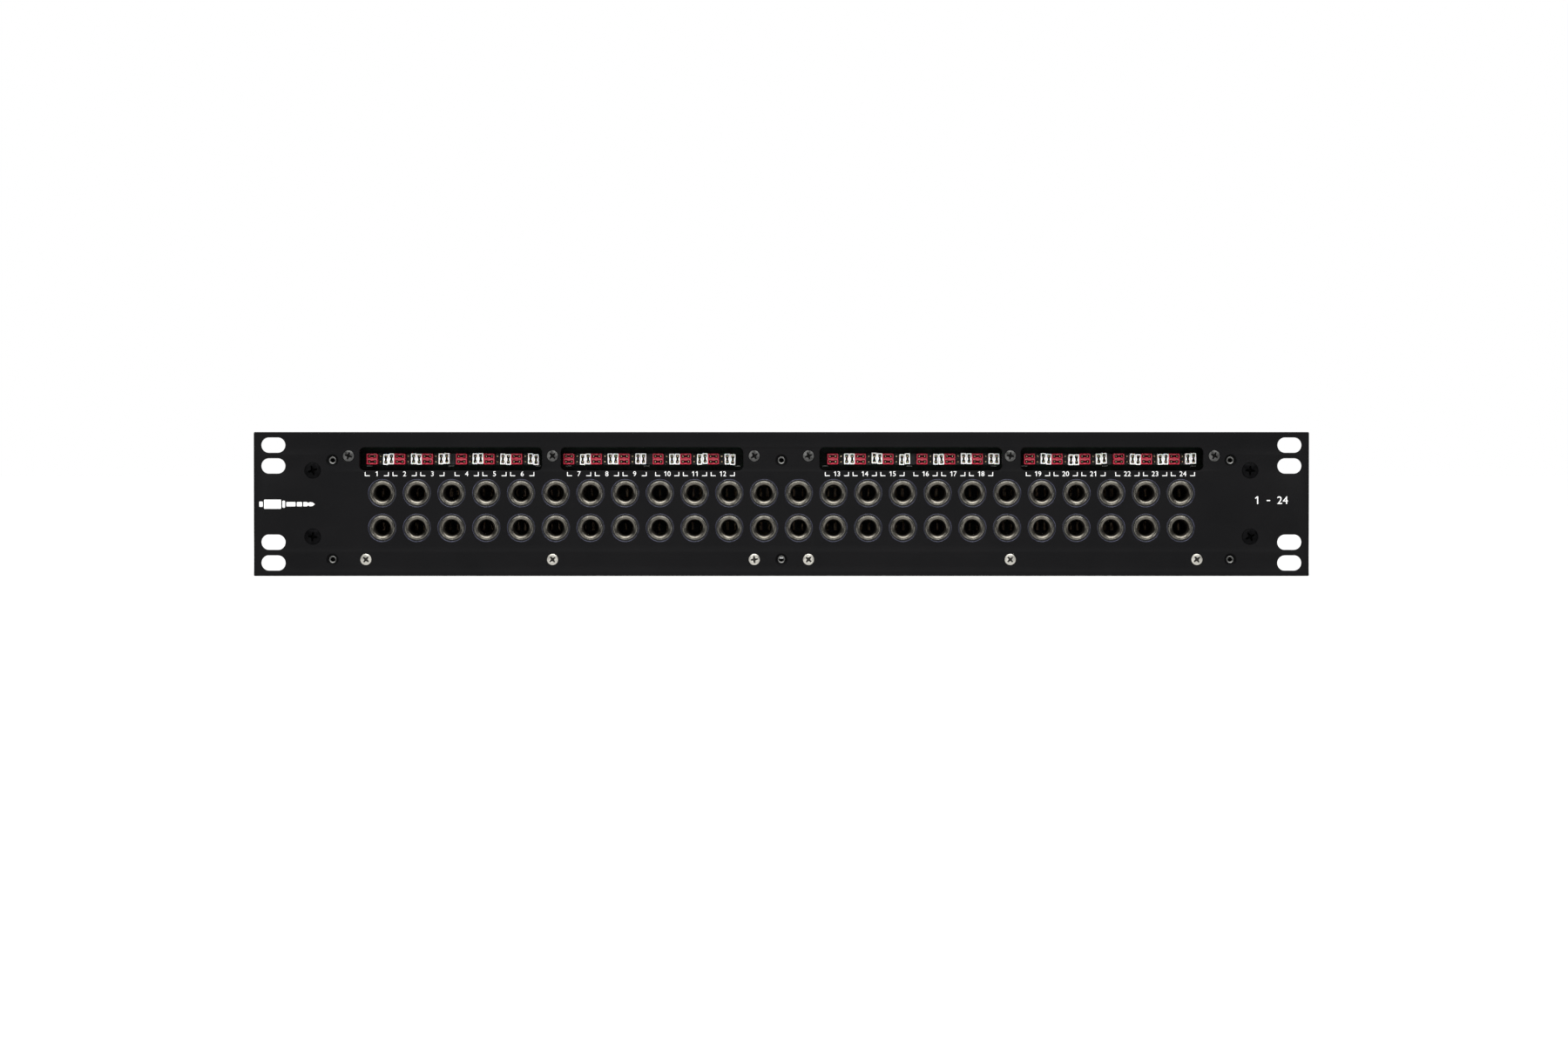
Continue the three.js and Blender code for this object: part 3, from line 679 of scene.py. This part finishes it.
def cross(arm, half):
    """A Phillips recess: four arms that taper towards their ends."""
    def ring(grow):
        a, w, n = arm + grow, half + grow * 0.6, half * 1.35 + grow
        quarter = [(w * 0.72, a), (-w * 0.72, a), (-w, n * 1.15), (-n * 1.15, w)]
        points = []
        for k in range(4):
            c, s = math.cos(k * math.pi / 2), math.sin(k * math.pi / 2)
            points += [(px * c - pz * s, px * s + pz * c) for px, pz in quarter]
        return points
    return ring


FRAME_SCREW = {"radius": 2.55, "shank": 1.45, "depth": 1.3, "length": 9.0, "half": 0.42}
CASE_SCREW = {"radius": 3.58, "shank": 2.05, "depth": 1.85, "length": 11.0, "half": 0.5}


def screw_mesh(name, finishes, arm, radius, shank, depth, length, half):
    """A countersunk screw just below the panel's face. arm and half size the recess in its head."""
    face, core = 0.12, shank - radius
    head = [(-0.16, face), (-0.04, face + 0.05), (0, face + 0.14), (core, depth)]
    tail = [(core, length - 0.4), (core - 0.3, length)]
    recess = [(0.03, face), (0, face + 0.05), (-half * 0.55, depth * 0.95)]
    bm = bmesh.new()
    # The recess takes the second finish, the painted-shade copy of the head's metal.
    plate(bm, circle(0, 0, radius), head + tail, [(cross(arm, half), recess, True, 1, 1)])
    return mesh_of(bm, name, finishes, sharp=30)


def screws():
    """The screws of the panel, each turned as it happened to stop."""
    rng = random.Random(11)
    kinds = [
        ("frame_screw_lower", LOWER_SCREWS, [SCREW_BRIGHT, NICKEL_RECESS_SHADE], "screw_nickel", 1.6, FRAME_SCREW),
        ("frame_screw_upper", UPPER_SCREWS, [SCREW_DULL, ZINC_RECESS_SHADE], "screw_dull", 1.65, FRAME_SCREW),
        ("case_screw", CASE_SCREWS, [SCREW_BLACK, OXIDE_RECESS_SHADE], "screw_black", 2.1, CASE_SCREW),
    ]
    for prefix, places, finishes, slot, arm, size in kinds:
        mesh = screw_mesh(prefix, finishes, arm, **size)
        for i, (x, z) in enumerate(places, 1):
            piece = place(f"{prefix}_head_{i}", mesh, slot, x=x, z=z, turn=rng.uniform(0, 90))
            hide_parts(f"{prefix}_{i}")


screws()


def strip_inserts():
    """Bare threaded bushes at the bottom of the six empty countersinks."""
    profile = [(1.62, 1.34), (1.5, 1.3), (1.38, 1.34), (1.16, 1.5)]
    for k in range(4):
        profile += [(1.0, 1.65 + 0.35 * k), (1.14, 1.82 + 0.35 * k)]
    profile += [(1.12, 3.1), (1.62, 3.1)]
    bm = bmesh.new()
    turned(bm, profile, 40)
    mesh = mesh_of(bm, "threaded_bush", [BUSH_METAL], sharp=20)
    for i, (x, z) in enumerate(STRIP_HOLES, 1):
        place(f"threaded_bush_{i}", mesh, "screw_nickel", x=x, z=z)


strip_inserts()

# ---- Programming field ------------------------------------------------------------------------

HEADER_FRONT = 11.6
PIN_TIP, PIN_END = 5.75, 13.9


def header(field):
    """A two-row pin header, scored between its columns, and its pins."""
    cell, notch, half = PIN / 2, 0.32, PIN
    low, high = box_mm(f"pin_header_{field + 1}")
    columns = round((high[0] - low[0]) / PIN)
    start = (low[0] + high[0]) / 2 - columns * cell
    top = []
    for column in range(columns):
        left = start + PIN * (column + 0.5) - cell
        right = start + PIN * (column + 0.5) + cell
        top += [(left, half - notch), (left + notch, half), (right - notch, half), (right, half - notch)]
    top = list(dict.fromkeys(top))
    path = [(x, -z) for x, z in top] + top[::-1]
    bm = bmesh.new()
    plate(bm, fixed([(x, z + FIELD_LEVEL) for x, z in path]), [(0, HEADER_FRONT), (0, high[1])])
    single(f"header_base_{field + 1}", bm, [BLACK_PLASTIC], "moulded_black", f"pin_header_{field + 1}")

    bm = bmesh.new()
    rng = random.Random(30 + field)
    for middle in channels(field):
        for column in (-2, -1, 0, 1, 2):
            for row in (-0.5, 0.5):
                tip = PIN_TIP + rng.uniform(-0.08, 0.08)
                pin(bm, middle + column * PIN, FIELD_LEVEL + row * PIN, tip, PIN_END)
    single(f"header_pins_{field + 1}", bm, [PIN_METAL], "spring_metal", sharp=20)


def dumbbell(reach, half, waist):
    """The slot in a shunt's face: a square hole at each pin, joined by a narrower slot."""
    def ring(grow):
        w, n = half + grow, waist + grow
        inner = reach - half - grow
        outer = reach + w
        right = [(inner, -n), (inner + 0.22, -w), (outer - 0.12, -w), (outer, -w + 0.12), (outer, w - 0.12),
                 (outer - 0.12, w), (inner + 0.22, w), (inner, n)]
        return right + [(-x, -z) for x, z in right]
    return ring


def shunt_mesh(name, material):
    """An open-topped two-way shunt. Its spring clip shows down the slot."""
    bm = bmesh.new()
    profile = [(-0.22, 0), (-0.08, 0.06), (0, 0.24), (0, 5.7), (-0.12, 5.86), (-0.2, 5.9)]
    slot = [(0.08, 0), (0, 0.1), (0, 0.55), (0.02, 0.56), (0.02, 5.9)]
    opening = (dumbbell(PIN / 2, 0.72, 0.45), slot, False, 0, 0)
    plate(bm, rectangle(0, 0, 5.0, 2.45, 0.3), profile, [opening])
    for face in bm.faces:
        middle = face.calc_center_median()
        in_slot = abs(middle.x) < 2.1 and abs(middle.z) < 0.8
        if in_slot and 0.56 < middle.y < 5.85:
            face.material_index = 1
    return mesh_of(bm, name, [material, CLIP_METAL])


def shunts():
    """Every shunt, each pushed home and turned a little differently."""
    red, white = shunt_mesh("red_shunt", RED_PLASTIC), shunt_mesh("white_shunt", WHITE_PLASTIC)
    front = box_mm("red_shunts_1")[0][1]
    rng = random.Random(7)
    for field in range(4):
        for c, middle in enumerate(channels(field), 1):
            for k, step in enumerate((-0.5, 0.5), 1):
                tag = f"{field + 1}_{c}_{k}"
                push, turn = rng.uniform(-0.15, 0.35), rng.gauss(0, 0.7)
                at = (middle - SHUNT_SHIFT, front + push, FIELD_LEVEL + step * PAIR_PITCH)
                place(f"red_shunt_{tag}", red, "red_plastic", f"red_shunts_{field + 1}", *at, turn)
                push, turn, lift = rng.uniform(-0.15, 0.35), 90 + rng.gauss(0, 1.3), rng.gauss(0, 0.22)
                at = (middle + SHUNT_SHIFT + step * PAIR_PITCH, front + push, FIELD_LEVEL + lift)
                place(f"white_shunt_{tag}", white, "white_plastic", f"white_shunts_{field + 1}", *at, turn)
        for color in ("red", "white"):
            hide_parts(f"{color}_shunts_{field + 1}")


for index in range(4):
    header(index)
shunts()


def field_boards():
    """The programming boards, with a few pale marks under the shunts: painted highlights standing in for
    small glints inside the windows.
    """
    from_middle = WINDOW_SIZE[0] / 2 - 2.8
    for side, sign in SIDES:
        low, high = box_mm(f"programming_board_{side}")
        edges = [(-0.1, low[1]), (0, low[1] + 0.12), (0, high[1] - 0.12), (-0.1, high[1])]
        bm = bmesh.new()
        plate(bm, spanning(low, high, 1.0), edges)
        single(f"field_board_{side}", bm, [SHADED_SOLDER_MASK], "board_green", f"programming_board_{side}")

        bm = bmesh.new()
        for x, (centre, _) in zip(FIELD_X, WINDOWS):
            if x * sign > 0:
                # Painted glints: one near the field's middle and one near each end of its window.
                for mark in (x - 1.5, centre - from_middle, centre + from_middle):
                    brick(bm, (mark - 1.3, low[1] - 0.06, 50.2), (mark + 1.3, low[1] - 0.01, 50.6), 0.02)
        single(f"board_glint_marks_{side}", bm, [BOARD_GLINT], "board_green")


field_boards()

# ---- Printing ---------------------------------------------------------------------------------

PRINT_FRONT, PRINT_BACK = -0.035, 0.0
LABEL_GROUPS = [-172.3, -131.2, -79.8, -39.5, 38.1, 78.6, 130.0, 170.9]  # the middles of groups of three
LABEL_LEVEL = 45.75


def polygon(bm, points):
    """A thin flat shape on the panel's face."""
    plate(bm, fixed(points), [(0, PRINT_FRONT), (0, PRINT_BACK)])


def glyph(bm, sign, x, z, height):
    """Adds one character of a given height, centred on x and standing on z, to a mesh."""
    curve = bpy.data.curves.new("lettering", "FONT")
    curve.body = sign
    curve.size = 10.0
    curve.extrude = (PRINT_BACK - PRINT_FRONT) / 2
    curve.resolution_u = 4
    carrier = bpy.data.objects.new("lettering", curve)
    SCENE.collection.objects.link(carrier)
    bpy.context.view_layer.update()
    flat = bpy.data.meshes.new_from_object(carrier.evaluated_get(bpy.context.evaluated_depsgraph_get()))
    bpy.data.objects.remove(carrier)
    bpy.data.curves.remove(curve)
    across, up = ([v.co[axis] for v in flat.vertices] for axis in (0, 1))
    scale = height / (max(up) - min(up))
    centre = Matrix.Translation((-(max(across) + min(across)) / 2, -min(up), 0))
    size = Matrix.Diagonal((scale, scale, 1, 1))
    upright = Matrix.Rotation(math.pi / 2, 4, "X")
    depth = (PRINT_FRONT + PRINT_BACK) / 2
    flat.transform(Matrix.Translation((x, depth, z)) @ upright @ size @ centre)
    bm.from_mesh(flat)
    bpy.data.meshes.remove(flat)


def lettering(bm, words, x, z, height):
    """Adds plain numbers of a given height, centred on x and standing on z, to a mesh."""
    advance = height * 0.74
    start = x - advance * (len(words) - 1) / 2
    for i, sign in enumerate(words):
        at = start + advance * i
        if sign == "1":
            bar, flag = height * 0.15, height * 0.24
            stem = [(at, z), (at + bar, z), (at + bar, z + height), (at, z + height)]
            serif = [(at - flag, z + height * 0.8), (at - flag, z + height * 0.68), (at, z + height * 0.8)]
            polygon(bm, stem + serif)
        elif sign == "-":
            left, right = at - advance * 0.3, at + advance * 0.3
            low, high = z + height * 0.38, z + height * 0.52
            polygon(bm, [(left, low), (right, low), (right, high), (left, high)])
        elif sign != " ":
            glyph(bm, sign, at, z, height)


def channel_labels():
    """Each channel's number between its two corner brackets."""
    digits, brackets = bmesh.new(), bmesh.new()
    stroke, reach, leg, rise = 0.34, 5.5, 2.25, 1.85
    places = [group + step * CHANNEL_PITCH for group in LABEL_GROUPS for step in (-1, 0, 1)]
    for number, x in enumerate(places, 1):
        lettering(digits, str(number), x, LABEL_LEVEL - 0.05, 2.25)
        for side in (-1, 1):
            corner = x + side * reach
            foot, inside = corner - side * leg, corner - side * stroke
            low, middle, high = LABEL_LEVEL, LABEL_LEVEL + stroke, LABEL_LEVEL + rise
            polygon(brackets, [(corner, low), (foot, low), (foot, middle), (inside, middle), (inside, high),
                               (corner, high)])
    single("channel_numbers", digits, [WHITE_INK], "panel_black")
    single("channel_brackets", brackets, [WHITE_INK], "panel_black")


channel_labels()


def side_marks():
    """A plain plug pictogram at the left and the range of channels at the right."""
    level = 32.9
    tip = [(-213.4, 0), (-214.4, 0.8), (-215.6, 1.0), (-216.4, 0.5), (-217.0, 1.0), (-218.6, 1.0)]
    ring, sleeve, collar = (-221.6, -219.2, 1.0), (-226.4, -222.2, 1.0), (-228.2, -227.0, 1.6)
    handle, cord = (-236.6, -228.8, 2.1), (-238.8, -237.2, 1.2)
    bm = bmesh.new()
    outline = tip + [(x, -z) for x, z in reversed(tip[1:])]
    polygon(bm, [(x, level + z) for x, z in outline])
    for left, right, half in (ring, sleeve, collar, handle, cord):
        outer = rectangle((left + right) / 2, level, right - left, 2 * half, 0.3, 3)
        polygon(bm, outer(0))
    single("plug_mark", bm, [WHITE_INK], "panel_black")
    bm = bmesh.new()
    lettering(bm, "1 - 24", 224.0, 33.0, 3.5)
    single("range_mark", bm, [WHITE_INK], "panel_black")


side_marks()

# ---- Case -------------------------------------------------------------------------------------


SHEET = 1.2
BEND_RADIUS = 1.0
FLANGE_WIDTH = 12.7
FLANGE_BORE = 2.3


def case_tray():
    """The floor and sides, folded from one sheet, with a flange at each end behind the panel."""
    low, high = box_mm("chassis_tray")
    side, floor, level = high[0] - SHEET / 2, low[2] + SHEET / 2, (low[2] + high[2]) / 2
    path = [(-side, high[2]), (-side, floor), (side, floor), (side, high[2])]
    flange_depths = (low[1], low[1] + SHEET)
    bm = bmesh.new()
    plate(bm, fixed(strip_outline(path, SHEET, BEND_RADIUS)), [(0, low[1]), (0, high[1])])
    for _, sign in SIDES:
        holes = [drilled(x, z, FLANGE_BORE, *flange_depths) for x, z in CASE_SCREWS if x * sign > 0]
        outline = rectangle(sign * (high[0] - 6.4), level, FLANGE_WIDTH, high[2] - low[2], 1.0)
        plate(bm, outline, sheared(*flange_depths), holes)
    single("case_tray", bm, [CASE_STEEL], "case_steel", "chassis_tray", sharp=30)


def case_cover():
    """The lid, folded down at both sides."""
    low, high = box_mm("top_cover")
    side, top = high[0] - SHEET / 2, high[2] - SHEET / 2
    path = [(side, low[2]), (side, top), (-side, top), (-side, low[2])]
    bm = bmesh.new()
    plate(bm, fixed(strip_outline(path, SHEET, BEND_RADIUS)), [(0, low[1]), (0, high[1])])
    single("case_cover", bm, [CASE_STEEL], "case_steel", "top_cover", sharp=30)


case_tray()
case_cover()

CONNECTORS = [sum(c[0] for c in box_mm(f"rear_connector_{i}")) / 2 for i in range(1, 7)]
CONNECTOR_LEVEL = sum(c[2] for c in box_mm("rear_connector_1")) / 2
JACKSCREW_X = 23.5
SHELL = [(-17.8, -4.0), (17.8, -4.0), (19.15, 4.0), (-19.15, 4.0)]


def rear_sheet():
    """The rear panel, cut out for the connectors and folded at both ends."""
    low, high = box_mm("rear_panel")
    back = high[1]
    cut = [(0, back - SHEET), (0, back)]
    holes = [(rectangle(x, CONNECTOR_LEVEL, 39.6, 11.4, 1.2), cut, False, 0, 0) for x in CONNECTORS]
    bm = bmesh.new()
    plate(bm, spanning(low, high, 0.8), sheared(back - SHEET, back), holes)
    for _, sign in SIDES:
        left, right = sorted((sign * high[0], sign * (high[0] - SHEET)))
        brick(bm, (left, low[1], low[2]), (right, back - 0.4, high[2]))
    single("case_back", bm, [CASE_STEEL], "case_steel", "rear_panel", sharp=30)


rear_sheet()


def connector_shell():
    """The flange of a 25-way connector, with the thin D-shaped shell that stands on it."""
    holes = [drilled(side * JACKSCREW_X, 0, 1.6, 4.9, 5.9) for _, side in SIDES]
    holes.append((rounded(SHELL, 1.2), [(0.2, 4.9), (-0.3, 5.2), (-0.5, 5.9)], False, 0, 0))
    outside = [(0.1, 5.2), (0, 4.9), (0, 0.3), (-0.1, 0.05)]
    inside = [(-0.25, 0), (-0.42, 0.08), (-0.5, 0.3), (-0.5, 5.2)]
    bm = bmesh.new()
    plate(bm, rectangle(0, 0, 53, 12.5, 1.8, 6), [(-0.2, 4.9), (0, 5.1), (0, 5.9)], holes)
    rings = wall(bm, rounded(SHELL, 1.2), outside + inside)
    first, last = rings[0], rings[-1]
    for i in range(len(first)):
        j = (i + 1) % len(first)
        bm.faces.new((last[i], last[j], first[j], first[i]))
    return mesh_of(bm, "connector_shell", [SHELL_METAL], 30)


def connector_insulator():
    """The moulding inside the shell, with its 25 contacts, and the body behind the flange."""
    pitch, rows = 2.77, ((13, 1.42), (12, -1.42))
    contacts = [(pitch * (i - (count - 1) / 2), z) for count, z in rows for i in range(count)]
    bore = [(0.12, 0.5), (0, 0.65), (0, 4.5)]
    bm = bmesh.new()
    plate(bm, rounded(SHELL, 1.2), [(-0.75, 0.5), (-0.55, 0.7), (-0.55, 6.0)],
          [(circle(x, z, 0.62, 14), bore, True, 1, 0) for x, z in contacts])
    plate(bm, rectangle(0, 0, 38.6, 10.4, 0.8), [(-0.2, 6.1), (0, 6.3), (0, 18.7), (-0.2, 18.9)])
    return mesh_of(bm, "connector_insulator", [BLACK_PLASTIC, GOLD], 30)


def connector_post():
    """A hexagonal jack-screw post with a threaded end."""
    thread = [(0.25, 0), (0, 0.2)] + [(0.1 * (k % 2), 0.3 + 0.22 * k) for k in range(14)]
    bm = bmesh.new()
    plate(bm, hexagon(2.75), [(-0.12, 0), (0, 0.35), (0, 4.5), (-0.1, 4.75)],
          [(circle(0, 0, 1.3, 24), thread, True, 0, 0)])
    return mesh_of(bm, "connector_post", [STEEL_PLATE], 25)


def connectors():
    shell, insulator, post = connector_shell(), connector_insulator(), connector_post()
    back = box_mm("rear_connector_1")[1][1]
    for i, x in enumerate(CONNECTORS, 1):
        at = {"y": back, "z": CONNECTOR_LEVEL, "facing": "back"}
        outside = place(f"connector_shell_{i}", shell, "connector_nickel", x=x, **at)
        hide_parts(f"rear_connector_{i}")
        place(f"connector_insulator_{i}", insulator, "moulded_black", x=x, **at)
        for k, (_, side) in enumerate(SIDES, 1):
            place(f"connector_post_{i}_{k}", post, "connector_nickel", x=x + side * JACKSCREW_X, **at)


connectors()


COVER_SCREW_DEPTHS = (28.0, 97.0, 166.0)
REAR_SCREW_X = (-212, 0, 212)
SCREW_INSET = 6.5


def pan_head():
    """A domed cross-head screw and the start of its shank."""
    dome = [(-1.5, -1.7), (-0.9, -1.6), (-0.4, -1.3), (-0.1, -0.8), (0, -0.3), (0, 0)]
    shank = [(-1.3, 0), (-1.3, 2.4), (-1.6, 2.7)]
    recess = [(0.03, -1.7), (0, -1.64), (-0.2, -0.5)]
    bm = bmesh.new()
    # The recess takes the painted-shade copy of the head's black.
    plate(bm, circle(0, 0, 2.8, 32), dome + shank, [(cross(1.05, 0.32), recess, True, 1, 1)])
    return mesh_of(bm, "pan_head_screw", [SCREW_BLACK, OXIDE_RECESS_SHADE], 30)


def case_fasteners():
    """Cover screws along the two sides and rear-panel screws."""
    screw = pan_head()
    rng = random.Random(23)
    low, high = box_mm("top_cover")
    for side, sign in SIDES:
        for i, depth in enumerate(COVER_SCREW_DEPTHS, 1):
            turn = rng.uniform(0, 90)
            place(f"cover_screw_{side}_{i}", screw, "screw_black", x=sign * high[0], y=depth,
                  z=low[2] + SCREW_INSET, turn=turn, facing=side)
    low, high = box_mm("rear_panel")
    spots = [(x, z) for x in REAR_SCREW_X for z in (low[2] + SCREW_INSET, high[2] - SCREW_INSET)]
    for i, (x, z) in enumerate(spots, 1):
        turn = rng.uniform(0, 90)
        place(f"rear_screw_{i}", screw, "screw_black", x=x, y=high[1], z=z, turn=turn, facing="back")


case_fasteners()


def earth_stud():
    """A threaded stud with a washer and a hexagon nut, for the studio's technical earth."""
    bm = bmesh.new()
    thread = [(0, -9.0), (1.7, -9.0), (2.0, -8.7)]
    for k in range(18):
        thread += [(2.0, -8.5 + 0.45 * k), (1.78, -8.28 + 0.45 * k)]
    turned(bm, thread + [(1.9, -0.2), (0, -0.2)], 32)
    turned(bm, [(2.3, -0.6), (5.0, -0.6), (5.1, -0.5), (5.1, -0.1), (5.0, 0), (2.3, 0)], 40)
    hole = (circle(0, 0, 2.1, 24), [(0.2, -3.9), (0, -3.7), (0, -0.9), (0.2, -0.7)], False, 0, 0)
    plate(bm, hexagon(4.4), [(-0.08, -3.9), (0, -3.6), (0, -1.0), (-0.08, -0.7)], [hole])
    at = {"x": 200.5, "y": box_mm("rear_panel")[1][1], "z": CONNECTOR_LEVEL, "facing": "back"}
    single("earth_stud", bm, [BRASS], "screw_nickel", sharp=30, **at)


earth_stud()


def connector_numbers():
    """The range of channels each rear connector carries."""
    back = box_mm("rear_panel")[1][1]
    bm = bmesh.new()
    for i, x in enumerate(CONNECTORS):
        first = 1 + 8 * (i % 3)
        lettering(bm, f"{first} - {first + 7}", -x, CONNECTOR_LEVEL + 9.2, 3.2)
    single("connector_numbers", bm, [REAR_INK], "case_steel", y=back, facing="back")


connector_numbers()

# ---- Pieces that keep their CAD shape ---------------------------------------------------------

CARRIED = {
    "contact_block": BLACK_PLASTIC,
    "jack_board": SHADED_SOLDER_MASK,
    "tip_springs": SPRING_METAL,
    "ring_springs": SPRING_METAL,
    "ribbon_cable": FLAT_CABLE,
}
for node, carried in frame["nodes"].items():
    for prefix, finish in CARRIED.items():
        if node.startswith(prefix):
            carried.data.materials.clear()
            carried.data.materials.append(finish)

# ---- Studio -----------------------------------------------------------------------------------


def pale_floor():
    reach = 30.0
    corners = [(-reach, -reach, 0), (reach, -reach, 0), (reach, reach, 0), (-reach, reach, 0)]
    mesh = bpy.data.meshes.new("floor")
    mesh.from_pydata(corners, [], [(0, 1, 2, 3)])
    n = Nodes("pale_floor")
    color = n.ramp(n.noise(3, 2), (0.88, 0.88, 0.88), (0.9, 0.9, 0.9))
    rough = n.between(n.noise(8, 2), 0.7, 0.8)
    mesh.materials.append(n.finish(color, rough, Specular_IOR_Level=0.0))
    floor = bpy.data.objects.new("floor", mesh)
    SCENE.collection.objects.link(floor)


def white_surround():
    """A world that the camera sees as white, and that lights the pieces much less."""
    lighting, seen_by_camera = 0.13, 1.0
    world = bpy.data.worlds.new("studio")
    SCENE.world = world
    world.use_nodes = True
    tree = world.node_tree
    background = tree.nodes["Background"]
    background.inputs["Color"].default_value = (1, 1, 1, 1)
    seen = tree.nodes.new("ShaderNodeLightPath").outputs["Is Camera Ray"]
    level = tree.nodes.new("ShaderNodeMapRange")
    level.inputs["To Min"].default_value = lighting
    level.inputs["To Max"].default_value = seen_by_camera
    tree.links.new(seen, level.inputs["Value"])
    tree.links.new(level.outputs["Result"], background.inputs["Strength"])


def lamps():
    """An even light over everything, and area lights given by place, width, height and power."""
    sun = bpy.data.lights.new("even_light", "SUN")
    sun.energy, sun.angle = 4.2, math.radians(50)
    sky = bpy.data.objects.new("even_light", sun)
    sky.rotation_euler = (math.radians(40), 0, 0)
    SCENE.collection.objects.link(sky)
    lights = [
        ("key_left", (-0.95, -0.9, 1.2), 0.9, 0.6, 9),
        ("key_right", (0.95, -0.9, 1.2), 0.9, 0.6, 9),
        ("front_fill", (0, -1.75, 0.07), 0.3, 0.2, 1.2),
        ("soft_strip", (0, -1.5, 0.7), 1.5, 0.4, 4.0),
    ]
    for name, spot, width, height, power in lights:
        light = bpy.data.lights.new(name, "AREA")
        light.shape = "RECTANGLE"
        light.size, light.size_y = width, height
        light.energy = power
        lamp = bpy.data.objects.new(name, light)
        lamp.location = spot
        aim = Vector((0, 0, 0.03)) - Vector(spot)
        lamp.rotation_euler = aim.to_track_quat("-Z", "Y").to_euler()
        SCENE.collection.objects.link(lamp)


def camera():
    """Square on to the panel, far enough away for the photograph's nearly parallel sides. The view
    is as wide as the photograph's at the panel's face, in metres; the shifts are shares of its width."""
    distance, elevation = 1.4, math.radians(0.6)
    sensor, view_width = 36.0, 0.7171
    lens = bpy.data.cameras.new("camera")
    lens.sensor_width = sensor
    lens.lens = sensor * distance / view_width
    lens.shift_x, lens.shift_y = 0.0016667, -0.0120556
    cam = bpy.data.objects.new("camera", lens)
    target = Vector((0, FACE, PANEL_HIGH[2] * MM / 2))
    away = Vector((0, -math.cos(elevation), math.sin(elevation)))
    cam.location = target + away * distance
    cam.rotation_euler = (-away).to_track_quat("-Z", "Y").to_euler()
    SCENE.collection.objects.link(cam)
    SCENE.camera = cam


pale_floor()
white_surround()
lamps()
camera()
SCENE.view_settings.view_transform = "Standard"
